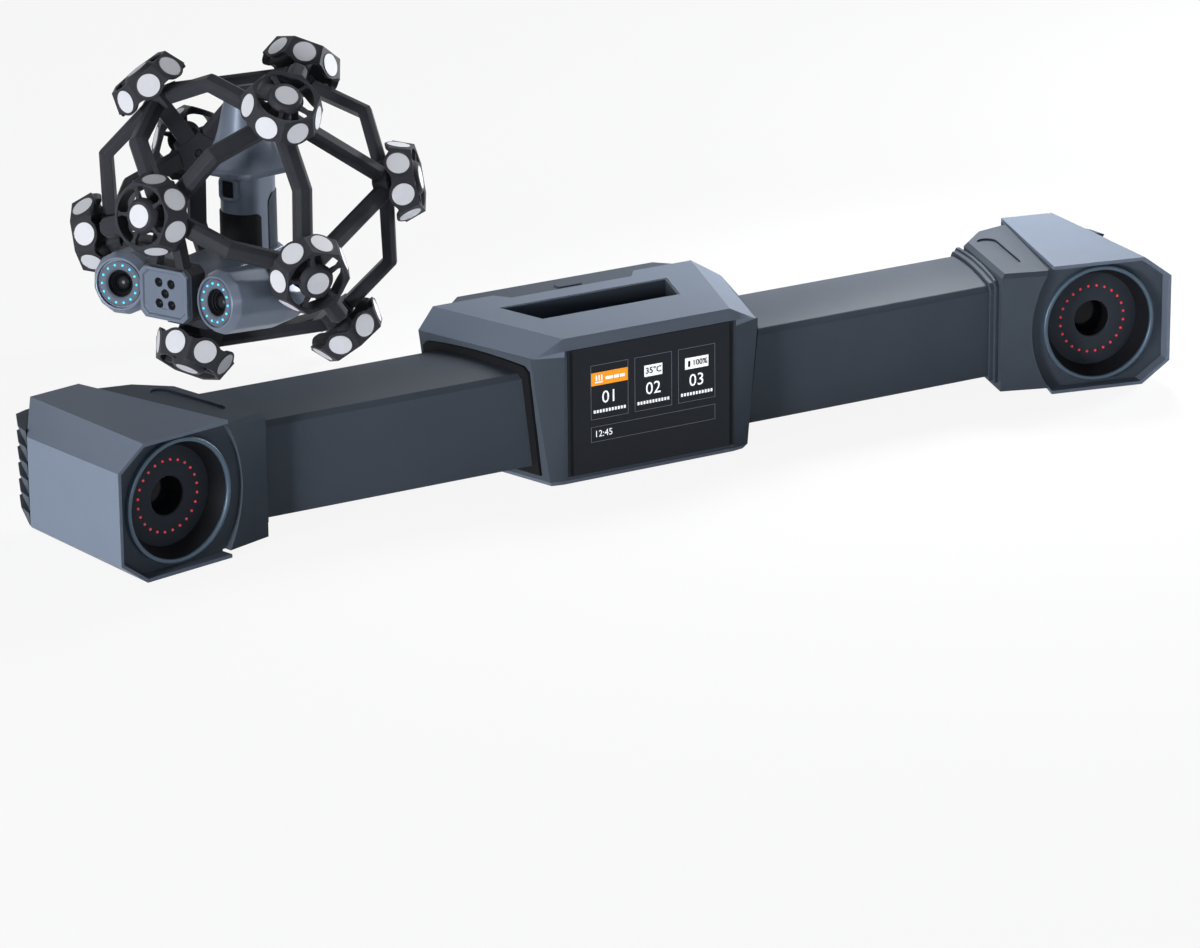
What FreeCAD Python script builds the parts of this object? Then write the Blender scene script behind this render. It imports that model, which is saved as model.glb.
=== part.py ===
import FreeCAD, Part
import math
import os

# Optical tracking 3-D scanner: a two-camera tracker bar and the caged hand scanner that it follows.
# Millimetres. +X runs along the bar, -Y is the side the tracker looks to, +Z is up.
# The origin is the mouth of the tripod thread, on the surface that both units stand on.

# Tracker bar: the camera windows set the length, the housing and the beam set the section
window_spacing = 1000.0     # between the two camera windows
window_plane = -100.0       # the windows' centres, in front of the origin
window_height = 65.7        # the windows' centres above the floor
toe_in = 12.0               # each head turns its camera inwards, degrees
fit_gap = 0.3               # between parts of one unit that slide or clip together
skin = 3.5                  # wall of the moulded covers
small_sides = 10            # flats round the small round pieces
large_sides = 28            # flats round the larger ones
window_sides = 44           # flats round the throat of a camera window

# Beam tube
beam_front = -63.5
beam_back = 48.0
beam_low = 18.4
beam_shoulder = 109.6       # where the crowned top begins, front and back
beam_crown = 113.0          # top of the crown
beam_chamfer = 5.0
beam_wall = 4.0
beam_inner_end = 105.0      # the end that bolts to the centre frame
beam_outer_end = 452.0      # the end inside the head

# Centre housing: half outlines at two levels, from the display's edge round to the back
cover_level = 126.0         # joint between the dark shell and the light top cover
base_level = 5.0            # joint between the dark shell and the bottom cover
half_outline_top = [(93.5, -84.0), (124.0, -74.0), (167.0, 62.0), (152.0, 80.0), (112.0, 97.0)]
half_outline_base = [(93.5, -84.0), (108.0, -81.0), (151.0, 62.0), (138.0, 76.0), (104.0, 92.0)]
rear_split = 61.0           # joint between front shell and rear cover
display_half_width = 90.0
display_low = 8.5
display_high = 131.2
display_ledge = 5.0         # width of the ledge that the glass is bonded to
glass_front = -85.0
glass_thickness = 2.2
display_depth = 8.0

# Top cover
top_level = 141.3
top_front = -77.3           # front edge of the flat top
top_front_half = 90.6
top_back_half = 142.5
cover_back = 77.5
brow_level = 131.7          # lower edge of the cover over the display
notch_front = 62.3
notch_half_front = 66.0
notch_half_back = 78.0

# Carrying slot in the top
slot_front = -12.8
slot_back = 39.6
slot_half_front = 75.2
slot_half_back = 92.1
slot_floor = 68.0
liner_wall = 2.2

# Rear cover, power button and sockets
crest_half = 108.0          # half length of the rear cover's crest
crest_back = 92.5
crest_slope = 14.0          # how much longer the crest is at its foot, each end
button_length = 26.0
button_width = 9.0
button_height = 6.0
button_proud = 1.2
button_travel = 1.5
button_middle = 69.5        # centre line of the button, in depth
socket_panel_half = 38.0
socket_panel_low = 16.0
socket_panel_high = 44.0
socket_spacing = 34.0
socket_radius = 8.0
socket_wall = 1.6
socket_sides = 18

# Bottom cover and tripod thread
bottom_chamfer = 4.0
thread_radius = 4.76        # 3/8 inch tripod thread
thread_depth = 16.0
insert_radius = 9.0
insert_flange = 14.0
insert_flange_height = 4.0

# Inner frame and electronics
frame_low = 22.0
frame_high = 60.0
frame_front = -56.0
frame_back = 40.0
frame_wall = 4.0
frame_plate = 6.0
frame_plate_high = 100.0
board_half = 88.0
board_front = -48.0
board_back = 30.0
board_thickness = 1.6

# Gasket frame round each beam where it enters the centre housing
gasket_width = 8.0
gasket_proud = 2.5
gasket_inner = 90.0
gasket_outer = 180.0

# Tracker head, in its own frame: x outwards, y back from the window, z up
hood_front = -9.0
hood_back = 180.0
hood_inner_front = -52.0
hood_inner_back = -29.0
hood_top_front = 44.0       # where the top panel meets the sloping panel
hood_top_back = 26.0
hood_side_front = 73.0
hood_side_back = 63.7
hood_half_front = 65.0      # half height at the top panel
hood_half_back = 60.5
hood_side_half_front = 43.5 # half height of the outer side panel
hood_side_half_back = 42.0
hood_wall = 3.5
tail_side = 124.5           # the hood's outer side ends here, cut on the slant
plate_plane = 3.0           # dark plate round the window
plate_radius = 110.0        # its rounded edge towards the beam
plate_edge = -71.0
neck_inner = -102.0
neck_inner_back = -94.0
neck_back = 119.0
neck_heel = (-68.0, 152.0)
neck_low = 6.0
neck_high = 124.5
neck_chamfer = 4.0
pocket_depth = 2.0
pocket_length = 92.0
pocket_width = 20.0
pocket_centre = (-74.0, 78.0)
pocket_turn = -4.0
head_cavity_half = 42.0
head_cavity_low = 30.0
head_cavity_high = 101.0
head_cavity_back = 150.0
bulkhead = 6.0              # wall behind the light plate

# Camera window
ring_radius = 58.5
ring_band = 4.0
ring_edge = 1.4
ring_proud = 6.0
led_plate_depth = 16.0
led_plate_radius = 47.0
led_plate_thickness = 2.5
aperture_radius = 18.2
lens_barrel_radius = 24.0
lens_barrel_length = 44.0
lens_depth = 31.0
lens_thickness = 6.0
lens_crown = 2.0
core_half = 26.0
core_length = 52.0

# Finned tail of the head
tail_low = 19.0
tail_high = 112.0
fin_count = 6
fin_depth = 7.0
fin_back = 188.0
fin_corners = [(65.0, 135.5), (59.0, 156.0), (40.0, 184.0)]

# Collar where the beam enters the head
collar_length = 9.0
collar_grow = 6.0
collar_slope = 2.5
collar_lip = 4.0            # length at the full height
collar_back = 110.0         # from the beam's outer end to where the cut of the collar starts

# Hand scanner's marker cage: pods at eleven of an icosahedron's twelve corners, one left out for the hand
cage_centre_x = -163.5
cage_centre_y = 417.0
cage_heading = 205.65       # where the scanner looks, degrees from +X
pod_reach = 160.0           # from the cage's centre to the middle of a pod's band
pod_facets = 7
pod_apothem = 35.5          # at the middle of the band
pod_band = 27.0
pod_slant = 18.0            # the band's facets lean towards the pod's front, degrees
pod_wall = 2.6
opening_sides = 21          # of the round opening through a band
boss_radius = 18.0
boss_face_radius = 14.5
boss_height = 9.0
boss_flank = 4.5            # height of the boss's sloping front edge
stem_radius = 9.0
boss_proud = 2.0            # of the front edge of the band
boss_sides = 15
spoke_count = 5
spoke_width = 3.6
spoke_height = 5.0
hub_apothem = 19.0
hub_height = 15.0
hub_screw_radius = 4.2
hub_screw_depth = 5.0
strut_width = 18.0
strut_height = 14.0
strut_chamfer = 4.5
strut_clearance = 2.5       # from the struts' outer faces to a pod's band
strut_bend = 13.0           # the middle of a bent strut lies this much further out than the hubs
hub_reach = pod_reach - pod_band / 2 - strut_clearance - strut_height / 2  # to the middle of a hub
straight_struts = [("top_back", "top_left"), ("top_right", "upper_right"), ("upper_right", "lower_right"),
                   ("foot_front", "foot_right"), ("foot_front", "foot_left")]
pod_turn = {                # each pod's turn about its own axis, degrees
    "top_back": 7.0, "top_left": 2.0, "top_right": 4.0,
    "upper_front": 21.0, "upper_right": 21.0, "upper_left": 0.0,
    "lower_left": 5.0, "lower_right": 12.0,
    "foot_front": 22.0, "foot_right": 22.0, "foot_left": 22.0,
}

# Hand scanner body, in the cage's frame: x forwards, z up, from the cage's centre
handle_depth = 58.0         # front to back
handle_width = 45.0
handle_corner = 20.0
handle_corner_flats = 6
handle_top = 38.0
bell_axis = 3.0
bell_profile = [(48.5, 42.0), (48.5, 47.0), (37.0, 58.0), (28.0, 74.0), (22.5, 93.0), (18.5, 112.0)]
bell_neck_radius = 28.5     # under the brim, where the handle starts
bell_bore = 14.0
bell_bore_floor = 84.0
socket_cap_height = 12.0
socket_cap_wall = 3.0
pad_thickness = 1.2
pad_top = 0.0
pad_back = -8.0
spine_width = 14.0
spine_depth = 5.0
spine_top = 16.0
trigger_width = 13.0
trigger_low = 18.0
trigger_high = 34.0
trigger_depth = 9.0
trigger_proud = 3.0
trigger_travel = 3.0
guard_wall = 3.0
guard_proud = 4.0

# Scanner head: two camera barrels and the laser block between them, carried by the hubs in front and below
laser_front = hub_reach + 2.0
keel_rise = 41.0            # the keel's underside lies this much nearer the centre than the hubs
keel_low = keel_rise - hub_reach
keel_depth = 12.0
keel_chamfer = 6.0
head_low = keel_low + keel_depth
head_height = 44.0
head_top = head_low + head_height
barrel_setback = 5.0        # of the barrels' fronts behind the laser's
barrel_front = laser_front - barrel_setback
barrel_inset = 78.0         # each barrel lies this much nearer the middle than the hubs
barrel_spacing = 2 * (hub_reach - barrel_inset)
barrel_rise = 41.4          # of the barrels' middles over the keel's underside
barrel_height = keel_low + barrel_rise
barrel_toe = 12.0
barrel_pitch = 6.0
barrel_radius = 31.0
barrel_facets = 12
barrel_length = 96.0
barrel_nose = 8.0           # length of the tapered nose
barrel_nose_radius = 26.5
barrel_tail_radius = 25.0
recess_radius = 24.0
recess_depth = 3.0
camera_bore = 13.5
camera_bore_depth = 26.0
led_ring_height = 2.0
eye_depth = 9.0
eye_thickness = 5.0
eye_crown = 1.6
laser_half_width = 29.0
laser_half_height = 26.0
laser_chamfer = 4.0
laser_depth = 30.0
laser_rim = 4.0             # raised rim round the sunk front panel
laser_sunk = 2.0
laser_hole = 4.7
laser_hole_depth = 6.0
laser_pitch_y = 7.6
laser_pitch_z = 10.7
head_front = laser_front - laser_depth
head_outline = [(head_front, 27.0), (head_front - 9.0, 34.0), (40.0, 34.0), (-22.0, 26.0), (-30.0, 14.0)]
tie_width = 20.0            # at the pod's hub
tie_foot = 44.0             # on the laser block
tie_leg = 9.0
tie_depth = 12.0
bracket_width = 22.0
bracket_depth = 12.0
lug_half = 8.0
screw_radius = 5.0
screw_length = 12.0
screw_place = (10.0, 16.0)


def vec(x, y, z=0.0):
    return FreeCAD.Vector(x, y, z)


def closed_wire(points):
    corners = [vec(*point) for point in points]
    return Part.makePolygon(corners + corners[:1])


def at_level(outline, z):
    return [(x, y, z) for x, y in outline]


def prism(outline, z_low, z_high):
    return Part.Face(closed_wire(at_level(outline, z_low))).extrude(vec(0, 0, z_high - z_low))


def flat_faces(corners):
    # one face where the corners lie in a plane, and two triangles where they don't
    a, b, c, d = [vec(*corner) for corner in corners]
    normal = (c - a).cross(d - b)
    normal.normalize()
    if abs(normal.dot(b - a)) < 1e-5 and abs(normal.dot(c - a)) < 1e-5:
        return [Part.Face(closed_wire(corners))]
    return [Part.Face(closed_wire([corners[i] for i in order])) for order in ((0, 1, 2), (0, 2, 3))]


def loft(sections):
    # a closed solid of flat faces through outlines with the same number of corners
    faces = [Part.Face(closed_wire(sections[0])), Part.Face(closed_wire(sections[-1]))]
    for low, high in zip(sections, sections[1:]):
        for index in range(len(low)):
            after = (index + 1) % len(low)
            faces += flat_faces([low[index], low[after], high[after], high[index]])
    shell = Part.makeShell(faces)
    shell.sewShape()
    solid = Part.makeSolid(shell)
    if solid.Volume < 0:
        solid.reverse()
    return solid


def block(x, y, z):
    return Part.makeBox(x[1] - x[0], y[1] - y[0], z[1] - z[0], vec(x[0], y[0], z[0]))


def polygon_ring(count, apothem, z, first=0.0):
    # corners of a regular polygon whose first side faces the angle first
    radius = apothem / math.cos(math.pi / count)
    points = []
    for index in range(count):
        angle = math.radians(first) + (2 * index + 1) * math.pi / count
        points.append((radius * math.cos(angle), radius * math.sin(angle), z))
    return points


def spun(profile, sides):
    # a small round solid about +Z, with flat sides, from (radius, height) points
    return loft([polygon_ring(sides, radius, height) for radius, height in profile])


def joined(shapes):
    whole = shapes[0]
    for shape in shapes[1:]:
        whole = whole.fuse(shape)
    return whole.removeSplitter()


def without(shape, cutters):
    for cutter in cutters:
        shape = shape.cut(cutter)
    return shape


def moved(shape, rotation, place):
    # a copy that is turned about the origin, then carried to its place
    copy = shape.copy()
    copy.Placement = FreeCAD.Placement(place, rotation).multiply(copy.Placement)
    return copy


def mirrored(shape):
    # the same piece on the other end of the tracker
    return shape.mirror(vec(0, 0, 0), vec(1, 0, 0))


def save(name, shapes):
    whole = Part.makeCompound(shapes) if len(shapes) > 1 else shapes[0]
    whole.exportStep(os.path.join("parts", name + ".step"))


def inset(outline, walls):
    # moves each side of a convex outline inwards by its wall, one number or one for each side
    count = len(outline)
    walls = walls if isinstance(walls, list) else [walls] * count
    sides = []
    for index, (x0, y0) in enumerate(outline):
        x1, y1 = outline[(index + 1) % count]
        length = math.hypot(x1 - x0, y1 - y0)
        normal_x = (y0 - y1) / length
        normal_y = (x1 - x0) / length
        sides.append((normal_x, normal_y, normal_x * x0 + normal_y * y0 + walls[index]))
    corners = []
    for index in range(count):
        a = sides[index - 1]
        b = sides[index]
        cross = a[0] * b[1] - a[1] * b[0]
        corners.append(((a[2] * b[1] - a[1] * b[2]) / cross, (a[0] * b[2] - a[2] * b[0]) / cross))
    return corners


def both_halves(half):
    # closes a right-hand half outline with its mirror image
    return half + [(-x, y) for x, y in reversed(half)]


def sliced(shape, corners, inside, depth=0.0):
    # removes what lies outside the plane through three corners, moved inwards by depth
    a, b, c = [vec(*corner) for corner in corners]
    outwards = (b - a).cross(c - a)
    outwards.normalize()
    if outwards.dot(vec(*inside) - a) > 0:
        outwards = outwards * -1.0
    reach = 2.0 * window_spacing
    slab = Part.makeBox(reach, reach, reach, vec(-reach / 2, -reach / 2, 0))
    turn = FreeCAD.Rotation(vec(0, 0, 1), outwards)
    return shape.cut(moved(slab, turn, a - outwards * depth))


# Beam
def beam_face(x, grow):
    front = beam_front - grow
    back = beam_back + grow
    low = beam_low - grow
    shoulder = beam_shoulder + grow
    middle = (front + back) / 2
    corners = [(front + beam_chamfer, shoulder), (front, shoulder - beam_chamfer), (front, low),
               (back, low), (back, shoulder - beam_chamfer), (back - beam_chamfer, shoulder)]
    points = [vec(x, y, z) for y, z in corners]
    edges = [Part.LineSegment(points[i], points[i + 1]).toShape() for i in range(len(points) - 1)]
    crown = Part.Arc(points[-1], vec(x, middle, beam_crown + grow), points[0]).toShape()
    return Part.Face(Part.Wire(edges + [crown]))


def beam_run(x_start, x_end, grow):
    return beam_face(x_start, grow).extrude(vec(x_end - x_start, 0, 0))


def beam():
    outer = beam_run(beam_inner_end, beam_outer_end, 0.0)
    inner = beam_run(beam_inner_end - 1, beam_outer_end + 1, -beam_wall)
    return outer.cut(inner)


# Centre housing
def housing_outline(z):
    share = (z - base_level) / (cover_level - base_level)
    half = []
    for (top_x, top_y), (base_x, base_y) in zip(half_outline_top, half_outline_base):
        half.append((base_x + share * (top_x - base_x), base_y + share * (top_y - base_y)))
    return both_halves(half)


def housing_body(wall, z_low, z_high):
    low = at_level(inset(housing_outline(z_low), wall), z_low)
    high = at_level(inset(housing_outline(z_high), wall), z_high)
    return loft([low, high])


def behind_split(gap):
    reach = 2 * rear_split + 2 * crest_half
    return block((-reach, reach), (rear_split + gap, reach), (-reach, reach))


def gasket_run(grow):
    right = beam_run(gasket_inner, gasket_outer, grow)
    return [right, mirrored(right)]


def front_shell():
    shell = housing_body(0.0, base_level, cover_level).cut(housing_body(skin, base_level - 1, cover_level + 1))
    brow = block((-half_outline_top[0][0] + 0.2, half_outline_top[0][0] - 0.2),
                 (half_outline_top[0][1], half_outline_top[0][1] + skin), (cover_level, brow_level - 0.2))
    shell = joined([shell, brow])
    recess = block((-display_half_width - fit_gap, display_half_width + fit_gap), (glass_front - 1,
                   glass_front + glass_thickness), (display_low - fit_gap, display_high + fit_gap))
    opening = block((-display_half_width + display_ledge, display_half_width - display_ledge),
                    (glass_front - 1, glass_front + 12), (display_low + display_ledge, display_high - display_ledge))
    return without(shell, [behind_split(0.0), recess, opening] + gasket_run(gasket_width + fit_gap))


def display_glass():
    return block((-display_half_width, display_half_width), (glass_front, glass_front + glass_thickness),
                 (display_low, display_high))


def display_module():
    back = glass_front + glass_thickness
    edge = display_ledge + fit_gap
    return block((-display_half_width + edge, display_half_width - edge), (back, back + display_depth),
                 (display_low + edge, display_high - edge))


def gaskets():
    grown = housing_body(-gasket_proud, base_level + 1, cover_level - fit_gap)
    core = housing_body(skin, base_level, cover_level)
    frames = []
    for outer, inner in zip(gasket_run(gasket_width), gasket_run(fit_gap / 2)):
        ring = outer.cut(inner).common(grown).cut(core)
        frames.append(ring)
    return frames


# Light top cover: a slab with its edges planed off on the slant
def cover_block(depth):
    half = [(half_outline_top[0][0], glass_front), half_outline_top[1], half_outline_top[2],
            (half_outline_top[3][0], cover_back)]
    body = prism(inset(both_halves(half), depth), cover_level - depth, top_level - depth)
    inside = (0.0, 0.0, cover_level)
    brow = [(-1, glass_front, brow_level), (1, glass_front, brow_level), (0, top_front, top_level)]
    body = sliced(body, brow, inside, depth)
    for side in (-1, 1):
        front_top = (side * top_front_half, top_front, top_level)
        back_top = (side * top_back_half, cover_back, top_level)
        front_low = (side * half_outline_top[1][0], half_outline_top[1][1], cover_level)
        back_low = (side * half_outline_top[2][0], half_outline_top[2][1], cover_level)
        brow_low = (side * half_outline_top[0][0], glass_front, brow_level)
        heel = (side * half_outline_top[3][0], cover_back, cover_level)
        body = sliced(body, [front_top, back_top, back_low], inside, depth)
        body = sliced(body, [front_top, front_low, brow_low], inside, depth)
        body = sliced(body, [back_top, back_low, heel], inside, depth)
    return body


def slot_outline():
    return [(slot_half_front, slot_front), (slot_half_back, slot_back),
            (-slot_half_back, slot_back), (-slot_half_front, slot_front)]


def notch_outline():
    return [(notch_half_front, notch_front), (notch_half_back, cover_back + 1),
            (-notch_half_back, cover_back + 1), (-notch_half_front, notch_front)]


def top_cover():
    cover = cover_block(0.0).cut(cover_block(skin))
    brow_gap = block((-half_outline_top[0][0], half_outline_top[0][0]), (glass_front - 1, glass_front + 1 + skin + 1),
                     (cover_level - 1, brow_level))
    slot = prism(slot_outline(), slot_floor, top_level + 1)
    notch = prism(notch_outline(), cover_level - 1, top_level + 1)
    return without(cover, [brow_gap, slot, notch])


def handle_liner():
    outer = prism(inset(slot_outline(), 0.0), slot_floor, top_level - skin)
    rim = prism(inset(slot_outline(), fit_gap / 3), top_level - skin, top_level - 0.6)
    pocket = prism(inset(slot_outline(), liner_wall), slot_floor + liner_wall, top_level + 1)
    return joined([outer, rim]).cut(pocket)


def rear_cover():
    shell = housing_body(0.0, base_level, cover_level).cut(housing_body(skin, base_level - 1, cover_level + 1))
    shell = shell.common(behind_split(fit_gap / 2))
    back = half_outline_top[-1][1]
    front = cover_back + fit_gap
    foot = [(crest_half + crest_slope, front), (crest_half, back), (-crest_half, back), (-crest_half - crest_slope, front)]
    head = [(crest_half + crest_slope, front), (crest_half, crest_back), (-crest_half, crest_back),
            (-crest_half - crest_slope, front)]
    crest = loft([at_level(foot, cover_level - skin), at_level(head, top_level - 0.3)])
    tongue = prism(inset(notch_outline(), fit_gap), cover_level - skin, top_level - 0.3)
    whole = joined([shell, crest, tongue])
    panel = block((-socket_panel_half, socket_panel_half), (rear_split, 2 * back), (socket_panel_low, socket_panel_high))
    return without(whole, [panel, button_solid(fit_gap / 2, button_travel + fit_gap)] + gasket_run(gasket_width + fit_gap))


def button_solid(clearance, under):
    half_length = button_length / 2 + clearance
    half_width = button_width / 2 + clearance
    top = top_level + button_proud + (10 if clearance else 0)
    return block((-half_length, half_length), (button_middle - half_width, button_middle + half_width),
                 (top_level - button_height - under, top))


def socket_plane():
    share = (socket_panel_low - base_level) / (cover_level - base_level)
    return half_outline_base[-1][1] + share * (half_outline_top[-1][1] - half_outline_base[-1][1])


def socket_panel():
    edge = fit_gap / 2
    face = socket_plane() - 0.6
    panel = block((-socket_panel_half + edge, socket_panel_half - edge), (face - skin, face),
                  (socket_panel_low + edge, socket_panel_high - edge))
    return without(panel, [socket_rod(side, socket_radius, face - skin - 1, face + 1) for side in (-1, 1)])


def socket_rod(side, radius, y_start, y_end):
    middle = (socket_panel_low + socket_panel_high) / 2
    rod = spun([(radius, -y_end), (radius, -y_start)], socket_sides)
    return moved(rod, FreeCAD.Rotation(vec(1, 0, 0), 90), vec(side * socket_spacing / 2, 0, middle))


def sockets():
    face = socket_plane() - 0.6
    pair = []
    for side in (-1, 1):
        outer = socket_rod(side, socket_radius, face - skin - 8, face + 1.2)
        pair.append(outer.cut(socket_rod(side, socket_radius - socket_wall, face - skin - 4, face + 2)))
    return pair


def bottom_cover():
    outline = housing_outline(base_level)
    cover = loft([at_level(inset(outline, bottom_chamfer), 0.0), at_level(outline, base_level)])
    hole = insert_radius + fit_gap / 3
    return cover.cut(spun([(hole, -1), (hole, base_level + 1)], small_sides))


def tripod_insert():
    sides = small_sides
    body = spun([(insert_radius, 0.0), (insert_radius, frame_low)], sides)
    flange = spun([(insert_flange, base_level), (insert_flange, base_level + insert_flange_height)], sides)
    return joined([body, flange]).cut(Part.makeCylinder(thread_radius, thread_depth + 1, vec(0, 0, -1)))


def centre_frame():
    length = beam_inner_end
    outer = block((-length + frame_plate, length - frame_plate), (frame_front, frame_back), (frame_low, frame_high))
    inner = block((-length, length), (frame_front + frame_wall, frame_back - frame_wall),
                  (frame_low + frame_wall, frame_high - frame_wall))
    plates = []
    for side in (-1, 1):
        x_pair = sorted((side * length, side * (length - frame_plate)))
        plate = block(x_pair, (frame_front, frame_back), (frame_low, frame_plate_high))
        window = block((x_pair[0] - 1, x_pair[1] + 1), (frame_front + 20, frame_back - 20),
                       (frame_low + 10, frame_high - frame_wall))
        plates.append(plate.cut(window))
    return joined([outer.cut(inner)] + plates)


def main_board():
    return block((-board_half, board_half), (board_front, board_back), (frame_high, frame_high + board_thickness))


# Tracker head, built at the right-hand end in its own frame
def in_head_frame(shape):
    return moved(shape, FreeCAD.Rotation(vec(0, 0, 1), -toe_in), vec(window_spacing / 2, window_plane, 0))


def hood_section(y, walls):
    share = (y - hood_front) / (hood_back - hood_front)

    def blend(front, back):
        return front + share * (back - front)

    inner = blend(hood_inner_front, hood_inner_back)
    top = blend(hood_top_front, hood_top_back)
    side = blend(hood_side_front, hood_side_back)
    half = blend(hood_half_front, hood_half_back)
    side_half = blend(hood_side_half_front, hood_side_half_back)
    outline = [(inner, -half), (top, -half), (side, -side_half), (side, side_half), (top, half), (inner, half)]
    return [(x, y, window_height + z) for x, z in inset(outline, walls)]


def hood_body(wall, inner_wall, y_start, y_end):
    walls = [wall, wall, wall, wall, wall, inner_wall]
    return loft([hood_section(y_start, walls), hood_section(y_end, walls)])


def tail_cut(shape, depth=0.0):
    # the slanted end of the hood, towards its outer back corner
    corners = [(hood_side_front, tail_side, 0.0), (hood_side_front, tail_side, 1.0), (hood_top_back, hood_back, 0.0)]
    return sliced(shape, corners, (0.0, 0.0, 0.0), depth)


def hood_sheet(gap):
    # the wrap, open towards the beam, thicker by gap all round
    reach = 1 if gap else 0
    outer = hood_body(-gap, -gap, hood_front - reach, hood_back + reach)
    inner = hood_body(hood_wall + gap, -hood_side_front, hood_front - 2, hood_back + 2)
    return outer.cut(inner)


def hood():
    return tail_cut(hood_sheet(0.0))


def neck_block():
    # the dark casting on the beam's side of the head
    front = [(hood_inner_front + 1, -5.0), (neck_inner, 1.0)]
    back = [(neck_inner_back, neck_back), neck_heel, (hood_inner_back, hood_back - 12.0)]
    outline = [(0.0, -5.0)] + front + back + [(0.0, hood_back - 12.0)]
    outline.reverse()
    top = at_level(inset(outline, [0] + [neck_chamfer] * 5 + [0, 0]), neck_high)
    shoulder = at_level(outline, neck_high - neck_chamfer)
    low = at_level(outline, neck_low)
    return loft([low, shoulder, top])


def on_window_axis(shape):
    # a turned piece, its height axis laid along the camera's axis, back from the window
    return moved(shape, FreeCAD.Rotation(vec(1, 0, 0), -90), vec(0, 0, window_height))


def rounded_slot(centre, length, width, turn, z_low, z_high):
    half = (length - width) / 2
    straight = block((-width / 2, width / 2), (-half, half), (z_low, z_high))
    ends = [Part.makeCylinder(width / 2, z_high - z_low, vec(0, end * half, z_low)) for end in (-1, 1)]
    return moved(joined([straight] + ends), FreeCAD.Rotation(vec(0, 0, 1), turn), vec(centre[0], centre[1], 0))


def head_shell():
    core = tail_cut(hood_body(hood_wall, 0.0, plate_plane, hood_back), 0.0)
    shell = joined([core, neck_block()])
    plate = Part.makeCylinder(plate_radius, plate_plane - hood_front + 5,
                              vec(plate_edge + plate_radius, hood_front - 5, window_height), vec(0, 1, 0))
    floor = led_plate_depth + led_plate_thickness
    mouth = ring_radius - ring_band
    seat = led_plate_radius + fit_gap / 2
    throat = on_window_axis(spun([(mouth, plate_plane - 1), (mouth, plate_plane), (seat, led_plate_depth),
                                  (seat, floor)], window_sides))
    bore = [(lens_barrel_radius, led_plate_depth), (lens_barrel_radius, floor + lens_barrel_length)]
    barrel = on_window_axis(spun(bore, large_sides))
    cavity = block((-head_cavity_half, head_cavity_half), (floor + bulkhead, head_cavity_back),
                   (head_cavity_low, head_cavity_high))
    pocket = rounded_slot(pocket_centre, pocket_length, pocket_width, pocket_turn,
                          neck_high - pocket_depth, neck_high + 5)
    shell = in_head_frame(without(shell, [hood_sheet(fit_gap / 2), plate, throat, barrel, cavity, pocket]))
    return shell.cut(beam_run(beam_inner_end, beam_outer_end + fit_gap, fit_gap / 2))


def window_ring():
    outer = ring_radius
    inner = ring_radius - ring_band
    front = plate_plane - ring_proud
    ring = spun([(outer - ring_edge, front), (outer, front + ring_edge), (outer, plate_plane)], window_sides)
    return on_window_axis(ring.cut(spun([(inner, front - 1), (inner, plate_plane + 1)], window_sides)))


def aperture(depth_start, depth_end):
    return spun([(aperture_radius, depth_start), (aperture_radius, depth_end)], large_sides)


def led_plate():
    back = led_plate_depth + led_plate_thickness
    plate = spun([(led_plate_radius, led_plate_depth), (led_plate_radius, back)], window_sides)
    return on_window_axis(plate.cut(aperture(led_plate_depth - 1, back + 1)))


def lens_barrel():
    start = led_plate_depth + led_plate_thickness
    outer = lens_barrel_radius - fit_gap / 3
    tube = spun([(outer, start), (outer, start + lens_barrel_length)], large_sides)
    return on_window_axis(tube.cut(aperture(start - 1, lens_depth + lens_thickness)))


def lens():
    radius = aperture_radius - fit_gap / 3
    return on_window_axis(spun([(radius * 0.55, lens_depth - lens_crown), (radius, lens_depth),
                                (radius, lens_depth + lens_thickness)], large_sides))


def camera_core():
    start = led_plate_depth + led_plate_thickness + lens_barrel_length
    return block((-core_half, core_half), (start, start + core_length), (head_cavity_low, window_height + core_half))


def fin_outline(depth):
    # plan of the tail, thinner by depth on its outer sides
    inner = hood_inner_back + 2
    outline = [(inner, hood_back), (hood_top_back, hood_back)] + fin_corners
    outline += [(hood_top_back, fin_back), (inner, fin_back)]
    return inset(outline, [0, 0, depth * 0.6, depth, depth, depth, 0])


def rear_fins():
    pitch = (tail_high - tail_low) / fin_count
    fins = []
    for index in range(fin_count):
        low = tail_low + index * pitch
        fins.append(loft([at_level(fin_outline(fin_depth), low), at_level(fin_outline(0.0), low + pitch)]))
    return joined(fins)


def neck_collar():
    # the collar lies against the slanted inner face of the head
    x_start = beam_outer_end - collar_back
    ring = beam_run(x_start, beam_outer_end, collar_grow).cut(beam_run(x_start - 1, beam_outer_end + 1, fit_gap / 3))
    face = [(neck_inner, 1.0, 0.0), (neck_inner, 1.0, 100.0), (neck_inner_back, neck_back, 0.0)]
    offset = FreeCAD.Rotation(vec(0, 0, 1), -toe_in)
    place = vec(window_spacing / 2, window_plane, 0)
    corners = []
    for corner in face:
        spot = offset.multVec(vec(*corner)) + place
        corners.append((spot.x, spot.y, spot.z))
    head_side = (window_spacing, 0.0, 0.0)
    beam_side = (0.0, 0.0, 0.0)
    ring = sliced(ring, corners, beam_side)
    ring = sliced(ring, corners, head_side, -collar_length)
    bevel = beam_run(x_start, beam_outer_end, collar_grow - collar_slope)
    tapered = sliced(ring, corners, head_side, -collar_lip)
    return joined([tapered, ring.common(bevel)])


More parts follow.
